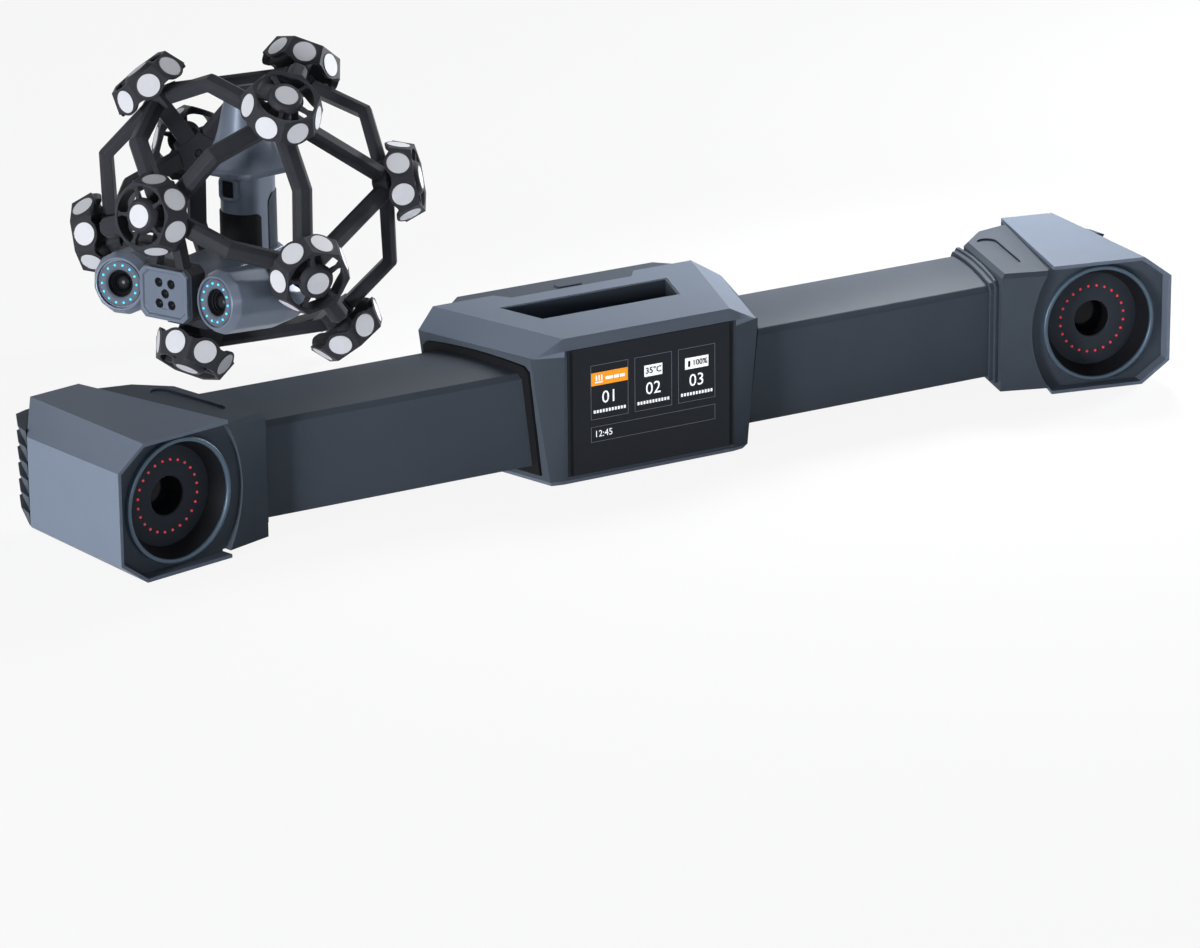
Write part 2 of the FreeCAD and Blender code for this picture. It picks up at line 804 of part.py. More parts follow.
def save_tracker():
    save("front_shell", [front_shell()])
    save("display_glass", [display_glass()])
    save("display_module", [display_module()])
    save("beam_gaskets", gaskets())
    save("top_cover", [top_cover()])
    save("handle_liner", [handle_liner()])
    save("rear_cover", [rear_cover()])
    save("power_button", [button_solid(0.0, 0.0)])
    save("socket_panel", [socket_panel()])
    save("sockets", sockets())
    save("bottom_cover", [bottom_cover()])
    save("tripod_insert", [tripod_insert()])
    save("centre_frame", [centre_frame()])
    save("main_board", [main_board()])
    pieces = {"beam": beam(), "neck_collar": neck_collar(), "head_shell": head_shell(), "hood": in_head_frame(hood()),
              "camera_core": in_head_frame(camera_core()), "rear_fins": in_head_frame(rear_fins())}
    for name, shape in pieces.items():
        save(name + "_right", [shape])
        save(name + "_left", [mirrored(shape)])
    pairs = {"window_rings": window_ring(), "led_plates": led_plate(), "lens_barrels": lens_barrel(),
             "camera_lenses": lens()}
    for name, shape in pairs.items():
        right = in_head_frame(shape)
        save(name, [right, mirrored(right)])


# Hand scanner
def cage_height():
    # the cage's centre, when its three feet stand on the floor
    rise, _ = icosahedron_layer()
    slant = math.radians(pod_slant)
    front_apothem = pod_apothem - pod_band / 2 * math.tan(slant)
    corner = front_apothem / math.cos(math.pi / pod_facets)
    lean = math.sqrt(1 - rise * rise)
    return rise * (pod_reach + pod_band / 2) + lean * corner


def icosahedron_layer():
    # heights of the two upper rings of corners, for an icosahedron of radius 1 that stands on a face
    high = math.sqrt((5 + 2 * math.sqrt(5)) / 15)
    low = math.sqrt((5 - 2 * math.sqrt(5)) / 15)
    return high, low


def corner_directions():
    high, low = icosahedron_layer()
    layers = [(high, 180.0, ("top_back", "top_left", "top_right")),
              (low, 0.0, ("upper_front", "upper_right", "upper_left")),
              (-low, 180.0, ("", "lower_left", "lower_right")),
              (-high, 0.0, ("foot_front", "foot_right", "foot_left"))]
    directions = {}
    for rise, start, names in layers:
        spread = math.sqrt(1 - rise * rise)
        for index, name in enumerate(names):
            angle = math.radians(start + 120.0 * index)
            if name:
                directions[name] = vec(spread * math.cos(angle), spread * math.sin(angle), rise)
    return directions


def on_cage(shape):
    place = vec(cage_centre_x, cage_centre_y, cage_height())
    return moved(shape, FreeCAD.Rotation(vec(0, 0, 1), cage_heading), place)


def radial_rotation(direction, turn):
    # lays +Z along the direction, with +X turned from straight down about it
    down = vec(0, 0, -1) + direction * direction.z
    down.normalize()
    side = direction.cross(down)
    angle = math.radians(turn)
    lead = down * math.cos(angle) + side * math.sin(angle)
    return FreeCAD.Rotation(lead, direction.cross(lead), direction, "ZXY")


def marker_pod():
    # band of leaning facets round an opening, spokes and a boss on a stem; height 0 is the cage's centre
    slope = math.tan(math.radians(pod_slant))
    back = pod_reach - pod_band / 2
    front = pod_reach + pod_band / 2

    def band_apothem(z):
        return pod_apothem - (z - pod_reach) * slope

    def band(z):
        return polygon_ring(pod_facets, band_apothem(z), z)

    outer = loft([band(back), band(front)])
    wide = [(band_apothem(z) - pod_wall, z) for z in (back - 1, front + 1)]
    pieces = [outer.cut(spun(wide, opening_sides))]
    hub_face = hub_reach + hub_height / 2
    boss_top = front + boss_proud
    boss = spun([(stem_radius, hub_face), (stem_radius, boss_top - boss_height),
                 (boss_radius, boss_top - boss_flank), (boss_face_radius, boss_top)], boss_sides)
    reach = band_apothem(front) - pod_wall / 2
    for index in range(spoke_count):
        spoke = block((stem_radius - 1, reach), (-spoke_width / 2, spoke_width / 2),
                      (front - 1 - spoke_height, front - 1))
        angle = (index + 0.5) * 360.0 / spoke_count
        pieces.append(moved(spoke, FreeCAD.Rotation(vec(0, 0, 1), angle), vec(0, 0, 0)))
    return joined(pieces + [boss])


def strut_section(middle, side, out):
    half = strut_width / 2
    high = strut_height / 2
    corners = [(-half, -high), (half, -high), (half, high - strut_chamfer), (half - strut_chamfer, high),
               (-half + strut_chamfer, high), (-half, high - strut_chamfer)]
    points = []
    for across, up in corners:
        spot = middle + side * across + out * up
        points.append((spot.x, spot.y, spot.z))
    return points


def strut(start, end, bent):
    # from the flat of one hub to the flat of the next, straight or as two arms that meet in a bend
    chord = end - start
    chord.normalize()
    bend = start + end
    bend.normalize()
    side = bend.cross(chord)
    sections = []
    for corner, way in ((start, chord), (end, chord * -1.0)):
        flat = way - corner * way.dot(corner)
        flat.normalize()
        sections.append(strut_section(corner * hub_reach + flat * hub_apothem, side, corner))
    if bent:
        sections.insert(1, strut_section(bend * (hub_reach + strut_bend), side, bend))
    return loft(sections)


def neighbours(directions):
    # the scanner's head stands where three of the struts to the front foot would run
    names = list(directions)
    pairs = []
    for index, first in enumerate(names):
        for second in names[index + 1:]:
            apart = (directions[first] - directions[second]).Length
            if apart < 1.2 and not (second == "foot_front" and directions[first].x > 0):
                pairs.append((first, second))
    return pairs


def strut_hub(name, directions):
    # a five-sided block with a flat for each strut, and a screw recess in its inner face
    direction = directions[name]
    nearest = min((other for other in directions if other != name),
                  key=lambda other: (directions[other] - direction).Length)
    flat = directions[nearest] - direction * direction.dot(directions[nearest])
    flat.normalize()
    half = hub_height / 2
    body = loft([polygon_ring(5, hub_apothem, hub_reach - half), polygon_ring(5, hub_apothem, hub_reach + half)])
    face = hub_reach - half
    recess = spun([(hub_screw_radius, face - 1), (hub_screw_radius, face + hub_screw_depth)], small_sides)
    rotation = FreeCAD.Rotation(flat, direction.cross(flat), direction, "ZXY")
    return moved(body.cut(recess), rotation, vec(0, 0, 0))


def save_cage():
    directions = corner_directions()
    pod = marker_pod()
    groups = {"marker_pods_top": "top_", "marker_pods_upper": "upper_", "marker_pods_lower": "lower_",
              "marker_pods_foot": "foot_"}
    for node, start in groups.items():
        pods = []
        for name, direction in directions.items():
            if name.startswith(start):
                pods.append(on_cage(moved(pod, radial_rotation(direction, pod_turn[name]), vec(0, 0, 0))))
        save(node, pods)
    save("cage_hubs", [on_cage(strut_hub(name, directions)) for name in directions])
    rings = {"cage_struts_top": [], "cage_struts_upper": [], "cage_struts_lower": []}
    for first, second in neighbours(directions):
        height = directions[first].z + directions[second].z
        node = "cage_struts_top" if height > 0.6 else "cage_struts_lower" if height < -0.6 else "cage_struts_upper"
        bent = (first, second) not in straight_struts
        rings[node].append(on_cage(strut(directions[first], directions[second], bent)))
    for node, struts in rings.items():
        save(node, struts)


def handle_run(z_low, z_high, grow):
    corner = handle_corner + grow
    outline = []
    for quarter, (x_side, y_side) in enumerate(((1, 1), (-1, 1), (-1, -1), (1, -1))):
        middle_x = x_side * (handle_depth / 2 - handle_corner)
        middle_y = y_side * (handle_width / 2 - handle_corner)
        for step in range(handle_corner_flats + 1):
            angle = math.radians(90.0 * (quarter + step / handle_corner_flats))
            outline.append((middle_x + corner * math.cos(angle), middle_y + corner * math.sin(angle)))
    return prism(outline, z_low, z_high)


def trigger_block(clearance, back):
    half = trigger_width / 2 + clearance
    front = handle_depth / 2 + trigger_proud + (10 if clearance else 0)
    return block((front - trigger_depth - back - (10 if clearance else 0), front), (-half, half),
                 (trigger_low - clearance, trigger_high + clearance))


def handle_shell():
    column = handle_run(head_top, handle_top, 0.0)
    half = trigger_width / 2 + guard_wall
    face = handle_depth / 2
    guard = block((face - 12, face + guard_proud), (-half, half), (trigger_low - guard_wall, trigger_high + guard_wall))
    spine = spine_block(0.0)
    return without(joined([column, guard]), [trigger_block(fit_gap, trigger_travel + fit_gap), spine])


def spine_block(proud):
    back = -handle_depth / 2
    return block((back - proud, back + spine_depth), (-spine_width / 2, spine_width / 2), (head_top, spine_top))


def grip_pad():
    sleeve = handle_run(head_top, pad_top, pad_thickness).cut(handle_run(head_top - 1, pad_top + 1, 0.0))
    return sleeve.common(block((pad_back, handle_depth), (-handle_width, handle_width), (head_top, handle_top)))


def bell_housing():
    body = spun([(bell_neck_radius, handle_top)] + bell_profile, large_sides)
    bore = spun([(bell_bore, bell_bore_floor), (bell_bore, bell_profile[-1][1] + 1)], large_sides)
    return moved(body.cut(bore), FreeCAD.Rotation(), vec(bell_axis, 0, 0))


def top_socket():
    radius = bell_bore - fit_gap / 3
    top = bell_bore_floor + socket_cap_height
    cup = spun([(radius, bell_bore_floor), (radius, top)], large_sides)
    hollow = spun([(radius - socket_cap_wall, bell_bore_floor + socket_cap_wall), (radius - socket_cap_wall, top + 1)],
                  large_sides)
    return moved(cup.cut(hollow), FreeCAD.Rotation(), vec(bell_axis, 0, 0))


def on_barrel_axis(shape, side):
    # +Z of the shape goes back along the barrel from the middle of its front
    toe = math.radians(barrel_toe)
    pitch = math.radians(barrel_pitch)
    back = vec(-math.cos(toe) * math.cos(pitch), side * math.sin(toe) * math.cos(pitch), -math.sin(pitch))
    place = vec(barrel_front, side * barrel_spacing / 2, barrel_height)
    lead = vec(0, 0, 1) - back * back.z
    lead.normalize()
    return moved(shape, FreeCAD.Rotation(lead, back.cross(lead), back, "ZXY"), place)


def barrel_solid():
    sides = [(barrel_nose_radius, 0.0), (barrel_radius, barrel_nose), (barrel_radius, barrel_length * 0.7),
             (barrel_tail_radius, barrel_length)]
    return loft([polygon_ring(barrel_facets, radius, z) for radius, z in sides])


def camera_barrel(side):
    recess = spun([(recess_radius, -1), (recess_radius, recess_depth)], large_sides)
    bore = spun([(camera_bore, 0), (camera_bore, camera_bore_depth)], large_sides)
    barrel = on_barrel_axis(without(barrel_solid(), [recess, bore]), side)
    return without(barrel, [laser_solid(fit_gap), head_solid()])


def led_ring(side):
    outer = recess_radius - fit_gap / 3
    front = recess_depth - led_ring_height
    disc = spun([(outer, front), (outer, recess_depth)], large_sides)
    hole = spun([(camera_bore, front - 1), (camera_bore, recess_depth + 1)], large_sides)
    return on_barrel_axis(disc.cut(hole), side)


def scanner_eye(side):
    radius = camera_bore - fit_gap / 3
    eye = spun([(radius * 0.5, eye_depth - eye_crown), (radius * 0.8, eye_depth - eye_crown * 0.6),
                (radius, eye_depth), (radius, eye_depth + eye_thickness)], large_sides)
    return on_barrel_axis(eye, side)


def laser_section(x, shrink):
    wide = laser_half_width - shrink
    high = laser_half_height - shrink
    cut = laser_chamfer * 1.5
    outline = [(-wide, -high + cut), (-wide + cut, -high), (wide - cut, -high), (wide, -high + cut),
               (wide, high - cut), (wide - cut, high), (-wide + cut, high), (-wide, high - cut)]
    return [(x, y, barrel_height + z) for y, z in outline]


def laser_solid(grow):
    return loft([laser_section(laser_front - laser_depth, -grow), laser_section(laser_front - laser_chamfer, -grow),
                 laser_section(laser_front, laser_chamfer - grow)])


def laser_spots():
    spots = [(0.0, 0.0)]
    for side in (-1, 1):
        for height in (-1, 1):
            spots.append((side * laser_pitch_y, height * laser_pitch_z))
    return spots


def laser_rod(spot, radius, x_start, x_end):
    rod = spun([(radius, x_start), (radius, x_end)], small_sides)
    return moved(rod, FreeCAD.Rotation(vec(0, 1, 0), 90), vec(0, spot[0], barrel_height + spot[1]))


def laser_block():
    holes = [laser_rod(spot, laser_hole, laser_front - laser_hole_depth, laser_front + 1) for spot in laser_spots()]
    panel = loft([laser_section(laser_front - laser_sunk, laser_chamfer + laser_rim + laser_sunk),
                  laser_section(laser_front + laser_sunk, laser_chamfer + laser_rim - laser_sunk)])
    return without(laser_solid(0.0), holes + [panel])


def laser_windows():
    start = laser_front - laser_hole_depth
    return [laser_rod(spot, laser_hole - fit_gap / 3, start, start + 2.0) for spot in laser_spots()]


def head_solid():
    return prism(mirror_depth(head_outline), head_low, head_top)


def mirror_depth(half):
    # closes an outline given for y above 0 with its mirror image, anticlockwise
    return half + [(x, -y) for x, y in reversed(half)]


def head_keel(directions):
    outline = mirror_depth(head_outline)
    keel = loft([at_level(inset(outline, keel_chamfer), keel_low), at_level(outline, head_low)])
    return keel.cut(strut_hub("foot_front", directions))


def front_tie(directions):
    # two legs, spread from the front pod's hub down to the laser block
    hub = directions["upper_front"] * hub_reach
    low = barrel_height + laser_half_height
    front = laser_front - laser_chamfer - 2

    def span(z, width):
        half = width / 2
        return [(front - tie_depth, -half, z), (front, -half, z), (front, half, z), (front - tie_depth, half, z)]

    tie = loft([span(low, tie_foot), span(hub.z, tie_width)])
    back = front - 2 * tie_depth
    inner = tie_foot / 2 - tie_leg
    corners = [(back, -inner, low - 1), (back, inner, low - 1), (back, 0.0, hub.z - tie_leg)]
    opening = Part.Face(closed_wire(corners)).extrude(vec(3 * tie_depth, 0, 0))
    return without(tie, [opening, strut_hub("upper_front", directions)])


def chin_bracket(directions):
    hub = directions["foot_front"] * hub_reach
    bar = block((hub.x - bracket_depth, hub.x + bracket_depth), (-bracket_width / 2, bracket_width / 2),
                (hub.z, keel_low))
    return bar.cut(strut_hub("foot_front", directions))


def side_lugs(directions):
    lugs = []
    for side, name in ((-1, "lower_left"), (1, "lower_right")):
        hub = directions[name] * hub_reach
        y_pair = sorted((side * (barrel_spacing / 2), hub.y))
        lug = block((hub.x - lug_half, hub.x + lug_half), y_pair, (hub.z - 2 * lug_half, hub.z))
        lugs.append(without(lug, [strut_hub(name, directions), on_barrel_axis(barrel_solid(), side)]))
    return lugs


def clamp_screw():
    start = keel_low - screw_length
    knob = joined([spun([(screw_radius, start), (screw_radius, start + screw_length / 2)], small_sides),
                   spun([(screw_radius / 2, start + 1), (screw_radius / 2, keel_low)], small_sides)])
    return moved(knob, FreeCAD.Rotation(), vec(screw_place[0], screw_place[1], 0))


def save_scanner():
    directions = corner_directions()
    pieces = {"handle_shell": [handle_shell()], "grip_pad": [grip_pad()], "handle_spine": [spine_block(1.0)],
              "trigger": [trigger_block(0.0, 0.0)], "bell_housing": [bell_housing()], "top_socket": [top_socket()],
              "camera_barrel_left": [camera_barrel(-1)], "camera_barrel_right": [camera_barrel(1)],
              "led_rings": [led_ring(-1), led_ring(1)], "scanner_eyes": [scanner_eye(-1), scanner_eye(1)],
              "laser_block": [laser_block()], "laser_windows": laser_windows(), "scanner_head": [head_solid()],
              "head_keel": [head_keel(directions)], "front_tie": [front_tie(directions)],
              "chin_bracket": [chin_bracket(directions)], "side_lugs": side_lugs(directions),
              "clamp_screw": [clamp_screw()]}
    for name, shapes in pieces.items():
        save(name, [on_cage(shape) for shape in shapes])


os.makedirs("parts", exist_ok=True)
save_tracker()
save_cage()
save_scanner()
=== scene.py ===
import math

import bmesh
import bpy
from mathutils import Matrix, Vector


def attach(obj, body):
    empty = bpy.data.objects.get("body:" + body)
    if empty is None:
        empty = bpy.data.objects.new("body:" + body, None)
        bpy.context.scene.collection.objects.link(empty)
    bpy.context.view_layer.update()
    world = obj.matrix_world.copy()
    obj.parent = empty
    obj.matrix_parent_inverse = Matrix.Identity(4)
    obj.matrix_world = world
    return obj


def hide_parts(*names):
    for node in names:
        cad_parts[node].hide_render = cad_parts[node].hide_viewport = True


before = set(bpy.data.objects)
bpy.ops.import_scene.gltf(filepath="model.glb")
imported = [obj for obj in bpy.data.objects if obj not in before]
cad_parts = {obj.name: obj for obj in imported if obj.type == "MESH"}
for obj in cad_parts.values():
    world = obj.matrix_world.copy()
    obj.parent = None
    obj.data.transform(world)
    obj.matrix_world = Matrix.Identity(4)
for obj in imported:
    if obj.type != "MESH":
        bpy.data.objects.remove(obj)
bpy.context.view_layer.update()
print("frame loaded:", len(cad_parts), "nodes")

mm = 0.001
scene = bpy.context.scene


# colours are written as sRGB hex and turned to linear here
def toLinear(hexText):
    channels = []
    for start in (0, 2, 4):
        value = int(hexText[start:start + 2], 16) / 255
        channels.append(value / 12.92 if value <= 0.04045 else ((value + 0.055) / 1.055) ** 2.4)
    return (*channels, 1.0)


def addNode(tree, kind, settings=None, inputs=None):
    node = tree.nodes.new(kind)
    for name, value in (settings or {}).items():
        setattr(node, name, value)
    for name, value in (inputs or {}).items():
        if isinstance(value, bpy.types.NodeSocket):
            tree.links.new(value, node.inputs[name])
        else:
            node.inputs[name].default_value = value
    return node


def newMaterial(name, look):
    mat = bpy.data.materials.new(name)
    mat.use_nodes = True
    mat.diffuse_color = toLinear(look["colour"])
    shader = mat.node_tree.nodes["Principled BSDF"]
    for label, key, usual in (("Metallic", "metallic", 0.0), ("Roughness", "roughness", 0.5),
                              ("Specular IOR Level", "specular", 0.5), ("Coat Weight", "coat", 0.0),
                              ("Coat Roughness", "coatRoughness", 0.1)):
        shader.inputs[label].default_value = look.get(key, usual)
    return mat, mat.node_tree, shader


def objectPlace(tree):
    return addNode(tree, "ShaderNodeTexCoord").outputs["Object"]


def noise(tree, place, scale, more=None):
    inputs = {"Vector": place, "Scale": scale, **(more or {})}
    return addNode(tree, "ShaderNodeTexNoise", inputs=inputs).outputs["Fac"]


def mixTones(tree, shader, share, look):
    # the base colour wanders between the look's two tones
    tone = addNode(tree, "ShaderNodeMix", {"data_type": "RGBA"},
                   {0: share, 6: toLinear(look["colour"]), 7: toLinear(look["second"])})
    tree.links.new(tone.outputs[2], shader.inputs["Base Color"])


def addBump(tree, shader, height, strength, depth):
    bump = addNode(tree, "ShaderNodeBump", inputs={"Height": height, "Strength": strength, "Distance": depth * mm})
    tree.links.new(bump.outputs["Normal"], shader.inputs["Normal"])


def speckled(name, look):
    # base colour with a faint second tone, a grain in the roughness and a fine bump; sizes are in mm
    mat, tree, shader = newMaterial(name, look)
    place = objectPlace(tree)
    mixTones(tree, shader, noise(tree, place, 1 / (look["cloudSize"] * mm), {"Detail": 3.0, "Roughness": 0.55}), look)
    grain = noise(tree, place, 1 / (look["grainSize"] * mm))
    rough = look.get("roughness", 0.5)
    spread = look.get("roughSpread", 0.06)
    shine = addNode(tree, "ShaderNodeMapRange", inputs={"Value": grain, "From Min": 0.3, "From Max": 0.7,
                                                        "To Min": rough - spread, "To Max": rough + spread})
    tree.links.new(shine.outputs["Result"], shader.inputs["Roughness"])
    addBump(tree, shader, grain, look.get("bump", 0.15), look.get("bumpHeight", 0.05))
    return mat


def brushed(name, look):
    # fine lines along one axis of the object, for turned and milled metal
    mat, tree, shader = newMaterial(name, look)
    stretch = addNode(tree, "ShaderNodeMapping", inputs={"Vector": objectPlace(tree), "Scale": look["stretch"]})
    lines = noise(tree, stretch.outputs["Vector"], 1 / (look["lineWidth"] * mm))
    mixTones(tree, shader, lines, look)
    addBump(tree, shader, lines, 0.2, 0.03)
    return mat


def glowing(name, look):
    # a small lit part shows its colour by itself
    mat, tree, shader = newMaterial(name, look)
    mixTones(tree, shader, noise(tree, objectPlace(tree), 1 / (look["cloudSize"] * mm)), look)
    shader.inputs["Emission Color"].default_value = toLinear(look["colour"])
    shader.inputs["Emission Strength"].default_value = look["glow"]
    return mat


# moulded PC/ABS, spark-eroded texture: dark blue-grey with a soft fine grain
shellPlastic = speckled("mouldedShellPlastic", {
    "colour": "454c56", "second": "49515b", "cloudSize": 40, "grainSize": 0.8, "roughness": 0.46, "bump": 0.22,
    "bumpHeight": 0.06, "specular": 0.02})
# powder-coated extrusion: the same dark tone, smoother, with a slow sheen along the beam
beamCoat = speckled("powderCoatedBeam", {
    "colour": "454c56", "second": "4a515b", "cloudSize": 60, "grainSize": 1.0, "roughness": 0.42, "bump": 0.18,
    "bumpHeight": 0.05, "specular": 0.02})
# satin lacquer over moulded plastic: mid blue-grey, even and soft
satinCover = speckled("satinLacquerCover", {
    "colour": "66707f", "second": "6b7584", "cloudSize": 50, "grainSize": 0.9, "roughness": 0.4, "bump": 0.12,
    "bumpHeight": 0.04, "specular": 0.02})
# painted magnesium casting: satin blue-grey that shows broad soft highlights
castingPaint = speckled("satinCastingPaint", {
    "colour": "667080", "second": "6c7686", "cloudSize": 30, "grainSize": 0.9, "roughness": 0.36, "bump": 0.16,
    "bumpHeight": 0.05, "metallic": 0.2, "specular": 0.15})
# laser-sintered nylon: neutral dark grey, matt, with a dusty grain
sinteredNylon = speckled("sinteredNylonCage", {
    "colour": "32343a", "second": "383a3f", "cloudSize": 18, "grainSize": 0.7, "roughness": 0.46, "bump": 0.25,
    "bumpHeight": 0.07, "specular": 0.05})
# vulcanised rubber: almost black, soft and matt
softRubber = speckled("vulcanisedRubber", {
    "colour": "17181a", "second": "1b1c1f", "cloudSize": 8, "grainSize": 0.6, "roughness": 0.62, "bump": 0.3,
    "bumpHeight": 0.08, "specular": 0.06})
# moulded nylon inside the housings: plain black
innerNylon = speckled("mouldedInnerNylon", {
    "colour": "15161a", "second": "1a1b1f", "cloudSize": 12, "grainSize": 0.8, "roughness": 0.55, "bump": 0.2,
    "specular": 0.06})
# matt anodised plate: flat near-black that the lit dots stand out from
anodisedPlate = speckled("mattAnodisedPlate", {
    "colour": "30353d", "second": "333840", "cloudSize": 15, "grainSize": 0.6, "roughness": 0.55, "bump": 0.12,
    "specular": 0.06})
# anodised aluminium, turned: steel-blue ring with a soft edge light
anodisedRing = brushed("blueAnodisedRing", {
    "colour": "475868", "second": "4e6070", "stretch": (1, 0.15, 1), "lineWidth": 0.8, "metallic": 0.4,
    "roughness": 0.36, "specular": 0.3})
# satin paint of the scanner's light rings: a shade darker than the casting round it
ringPaint = speckled("satinRingPaint", {
    "colour": "5c6572", "second": "626b78", "cloudSize": 20, "grainSize": 0.7, "roughness": 0.5, "bump": 0.1,
    "specular": 0.08})
# tinted cover glass: near-black with a clear gloss
coverGlass = speckled("tintedCoverGlass", {
    "colour": "1a1f27", "second": "1c2129", "cloudSize": 90, "grainSize": 4.0, "roughness": 0.12, "roughSpread": 0.02,
    "bump": 0.0, "specular": 0.1, "coat": 0.1, "coatRoughness": 0.05})
# infrared-pass filter glass over the tracker's cameras: black, its reflections held down by the coating
lensGlass = speckled("infraredFilterGlass", {
    "colour": "0b0d11", "second": "0e1116", "cloudSize": 20, "grainSize": 3.0, "roughness": 0.14, "roughSpread": 0.02,
    "bump": 0.0, "specular": 0.12})
# coated optical glass of the scanner's eyes: black with a small soft highlight
eyeGlass = speckled("coatedEyeGlass", {
    "colour": "0e1115", "second": "12161c", "cloudSize": 20, "grainSize": 3.0, "roughness": 0.3, "roughSpread": 0.02,
    "bump": 0.0, "specular": 0.2})
# flocked black lining of the camera sleeves: swallows nearly all light
flockedBlack = speckled("flockedBlackLining", {
    "colour": "0c0d10", "second": "101114", "cloudSize": 6, "grainSize": 0.5, "roughness": 0.9, "roughSpread": 0.03,
    "bump": 0.3, "specular": 0.05})
# glass-bead reflective film: pale grey that lights up white, with a faint bead texture
beadFilm = speckled("glassBeadFilm", {
    "colour": "d6d8de", "second": "ced0d8", "cloudSize": 6, "grainSize": 0.5, "roughness": 0.55, "bump": 0.2,
    "bumpHeight": 0.04, "specular": 0.3})
# printed black ring round the film: darker than the plastic that it lies on
markerRimInk = speckled("blackMarkerRim", {
    "colour": "1a1b1e", "second": "202125", "cloudSize": 5, "grainSize": 0.6, "roughness": 0.6, "bump": 0.1})
# turned stainless steel: light grey with fine lines
turnedSteel = brushed("turnedStainlessSteel", {
    "colour": "b5b8bd", "second": "c4c7cb", "stretch": (1, 1, 8), "lineWidth": 0.4, "metallic": 1.0,
    "roughness": 0.32})
# black-oxide steel screws: dark with a dull gleam
blackScrew = brushed("blackOxideSteel", {
    "colour": "2a2b2e", "second": "333438", "stretch": (1, 1, 6), "lineWidth": 0.4, "metallic": 0.8,
    "roughness": 0.4})
# milled aluminium of the inner frame
milledAlloy = brushed("milledAluminium", {
    "colour": "a9adb2", "second": "b6babf", "stretch": (8, 1, 1), "lineWidth": 0.6, "metallic": 1.0,
    "roughness": 0.38})
# glass-fibre board with green solder mask
boardLaminate = speckled("solderMaskLaminate", {
    "colour": "0f4a2c", "second": "125232", "cloudSize": 5, "grainSize": 0.8, "roughness": 0.4, "bump": 0.2})
# infrared diodes in clear epoxy, which the picture shows as small ruby dots
rubyDiode = glowing("rubyDiode", {"colour": "d8303c", "second": "b82430", "cloudSize": 1.0, "roughness": 0.25,
                                  "glow": 0.35, "coat": 0.6})
# blue diodes of the hand scanner, lit
cyanDiode = glowing("litCyanDiode", {"colour": "35c6f4", "second": "5fd6f8", "cloudSize": 1.0, "roughness": 0.3,
                                     "glow": 0.9, "coat": 0.4})
# the lit screen's own tones: main colour, second tone and glow
screenTones = {"screenWhite": ("f2f4f6", "eceef2", 0.55), "screenOrange": ("f29b30", "ee9428", 0.45),
               "screenGreyLine": ("6c727c", "666c76", 0.15), "screenDarkInk": ("1c2027", "1e222a", 0.0)}
screenWhite, screenOrange, screenLine, screenInk = [
    glowing(name, {"colour": colour, "second": second, "cloudSize": 3.0, "glow": glow, "specular": 0.0})
    for name, (colour, second, glow) in screenTones.items()]
print("materials made")


# a finished piece: mesh with its place in it, object at the origin, riding on a body
def finishPiece(obj, body, nodes=()):
    if nodes:
        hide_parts(*nodes)
    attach(obj, body)
    return obj


def linkObject(name, data):
    obj = bpy.data.objects.new(name, data)
    scene.collection.objects.link(obj)
    return obj


def linkMesh(name, mesh, material):
    obj = linkObject(name, mesh)
    mesh.materials.clear()
    mesh.materials.append(material)
    return obj


def evaluatedMesh(obj):
    bpy.context.view_layer.update()
    graph = bpy.context.evaluated_depsgraph_get()
    return bpy.data.meshes.new_from_object(obj.evaluated_get(graph), depsgraph=graph)


def bakeModifiers(obj):
    # the evaluated shape becomes the mesh, and the modifiers go
    mesh = evaluatedMesh(obj)
    obj.modifiers.clear()
    old = obj.data
    obj.data = mesh
    mesh.name = obj.name
    bpy.data.meshes.remove(old)
    return obj


def soften(obj, width, segments=2, angle=24):
    # small radii along the edges, with the flat faces kept flat
    bevel = obj.modifiers.new("softEdge", "BEVEL")
    bevel.width = width * mm
    bevel.segments = segments
    bevel.limit_method = "ANGLE"
    bevel.angle_limit = math.radians(angle)
    bevel.miter_outer = "MITER_ARC"
    flat = obj.modifiers.new("flatFaces", "WEIGHTED_NORMAL")
    flat.weight = 100
    flat.keep_sharp = True
    return bakeModifiers(obj)


def shadeByAngle(mesh, angle):
    mesh.shade_smooth()
    mesh.set_sharp_from_angle(angle=math.radians(angle))


# copies of CAD nodes, merged and given the small radii of moulded and milled edges
def softEdged(name, node, material, body, width, segments=2):
    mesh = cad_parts[node].data.copy()
    shape = bmesh.new()
    shape.from_mesh(mesh)
    bmesh.ops.remove_doubles(shape, verts=shape.verts, dist=0.02 * mm)
    bmesh.ops.dissolve_limit(shape, angle_limit=math.radians(0.6), verts=shape.verts, edges=shape.edges)
    shape.to_mesh(mesh)
    shape.free()
    obj = linkMesh(name, mesh, material)
    for face in mesh.polygons:
        face.use_smooth = True
        face.material_index = 0
    soften(obj, width, segments)
    return finishPiece(obj, body, [node])


def meshFrom(name, vertices, faces, material):
    # points in metres, with doubled ones merged and every face turned outwards
    mesh = bpy.data.meshes.new(name)
    mesh.from_pydata([tuple(v) for v in vertices], [], faces)
    shape = bmesh.new()
    shape.from_mesh(mesh)
    bmesh.ops.remove_doubles(shape, verts=shape.verts, dist=0.001 * mm)
    bmesh.ops.recalc_face_normals(shape, faces=shape.faces)
    shape.to_mesh(mesh)
    shape.free()
    return linkMesh(name, mesh, material)


def softPiece(name, shape, material, width, segments=2):
    # vertices and faces become one smooth-shaded piece with soft edges
    obj = meshFrom(name, *shape, material)
    obj.data.shade_smooth()
    return soften(obj, width, segments)


def tubeFaces(columns, rows):
    # a closed ring of columns, each a closed run of rows
    faces = []
    for step in range(columns):
        here = step * rows
        there = (step + 1) % columns * rows
        for row in range(rows):
            after = (row + 1) % rows
            faces.append((here + row, here + after, there + after, there + row))
    return faces


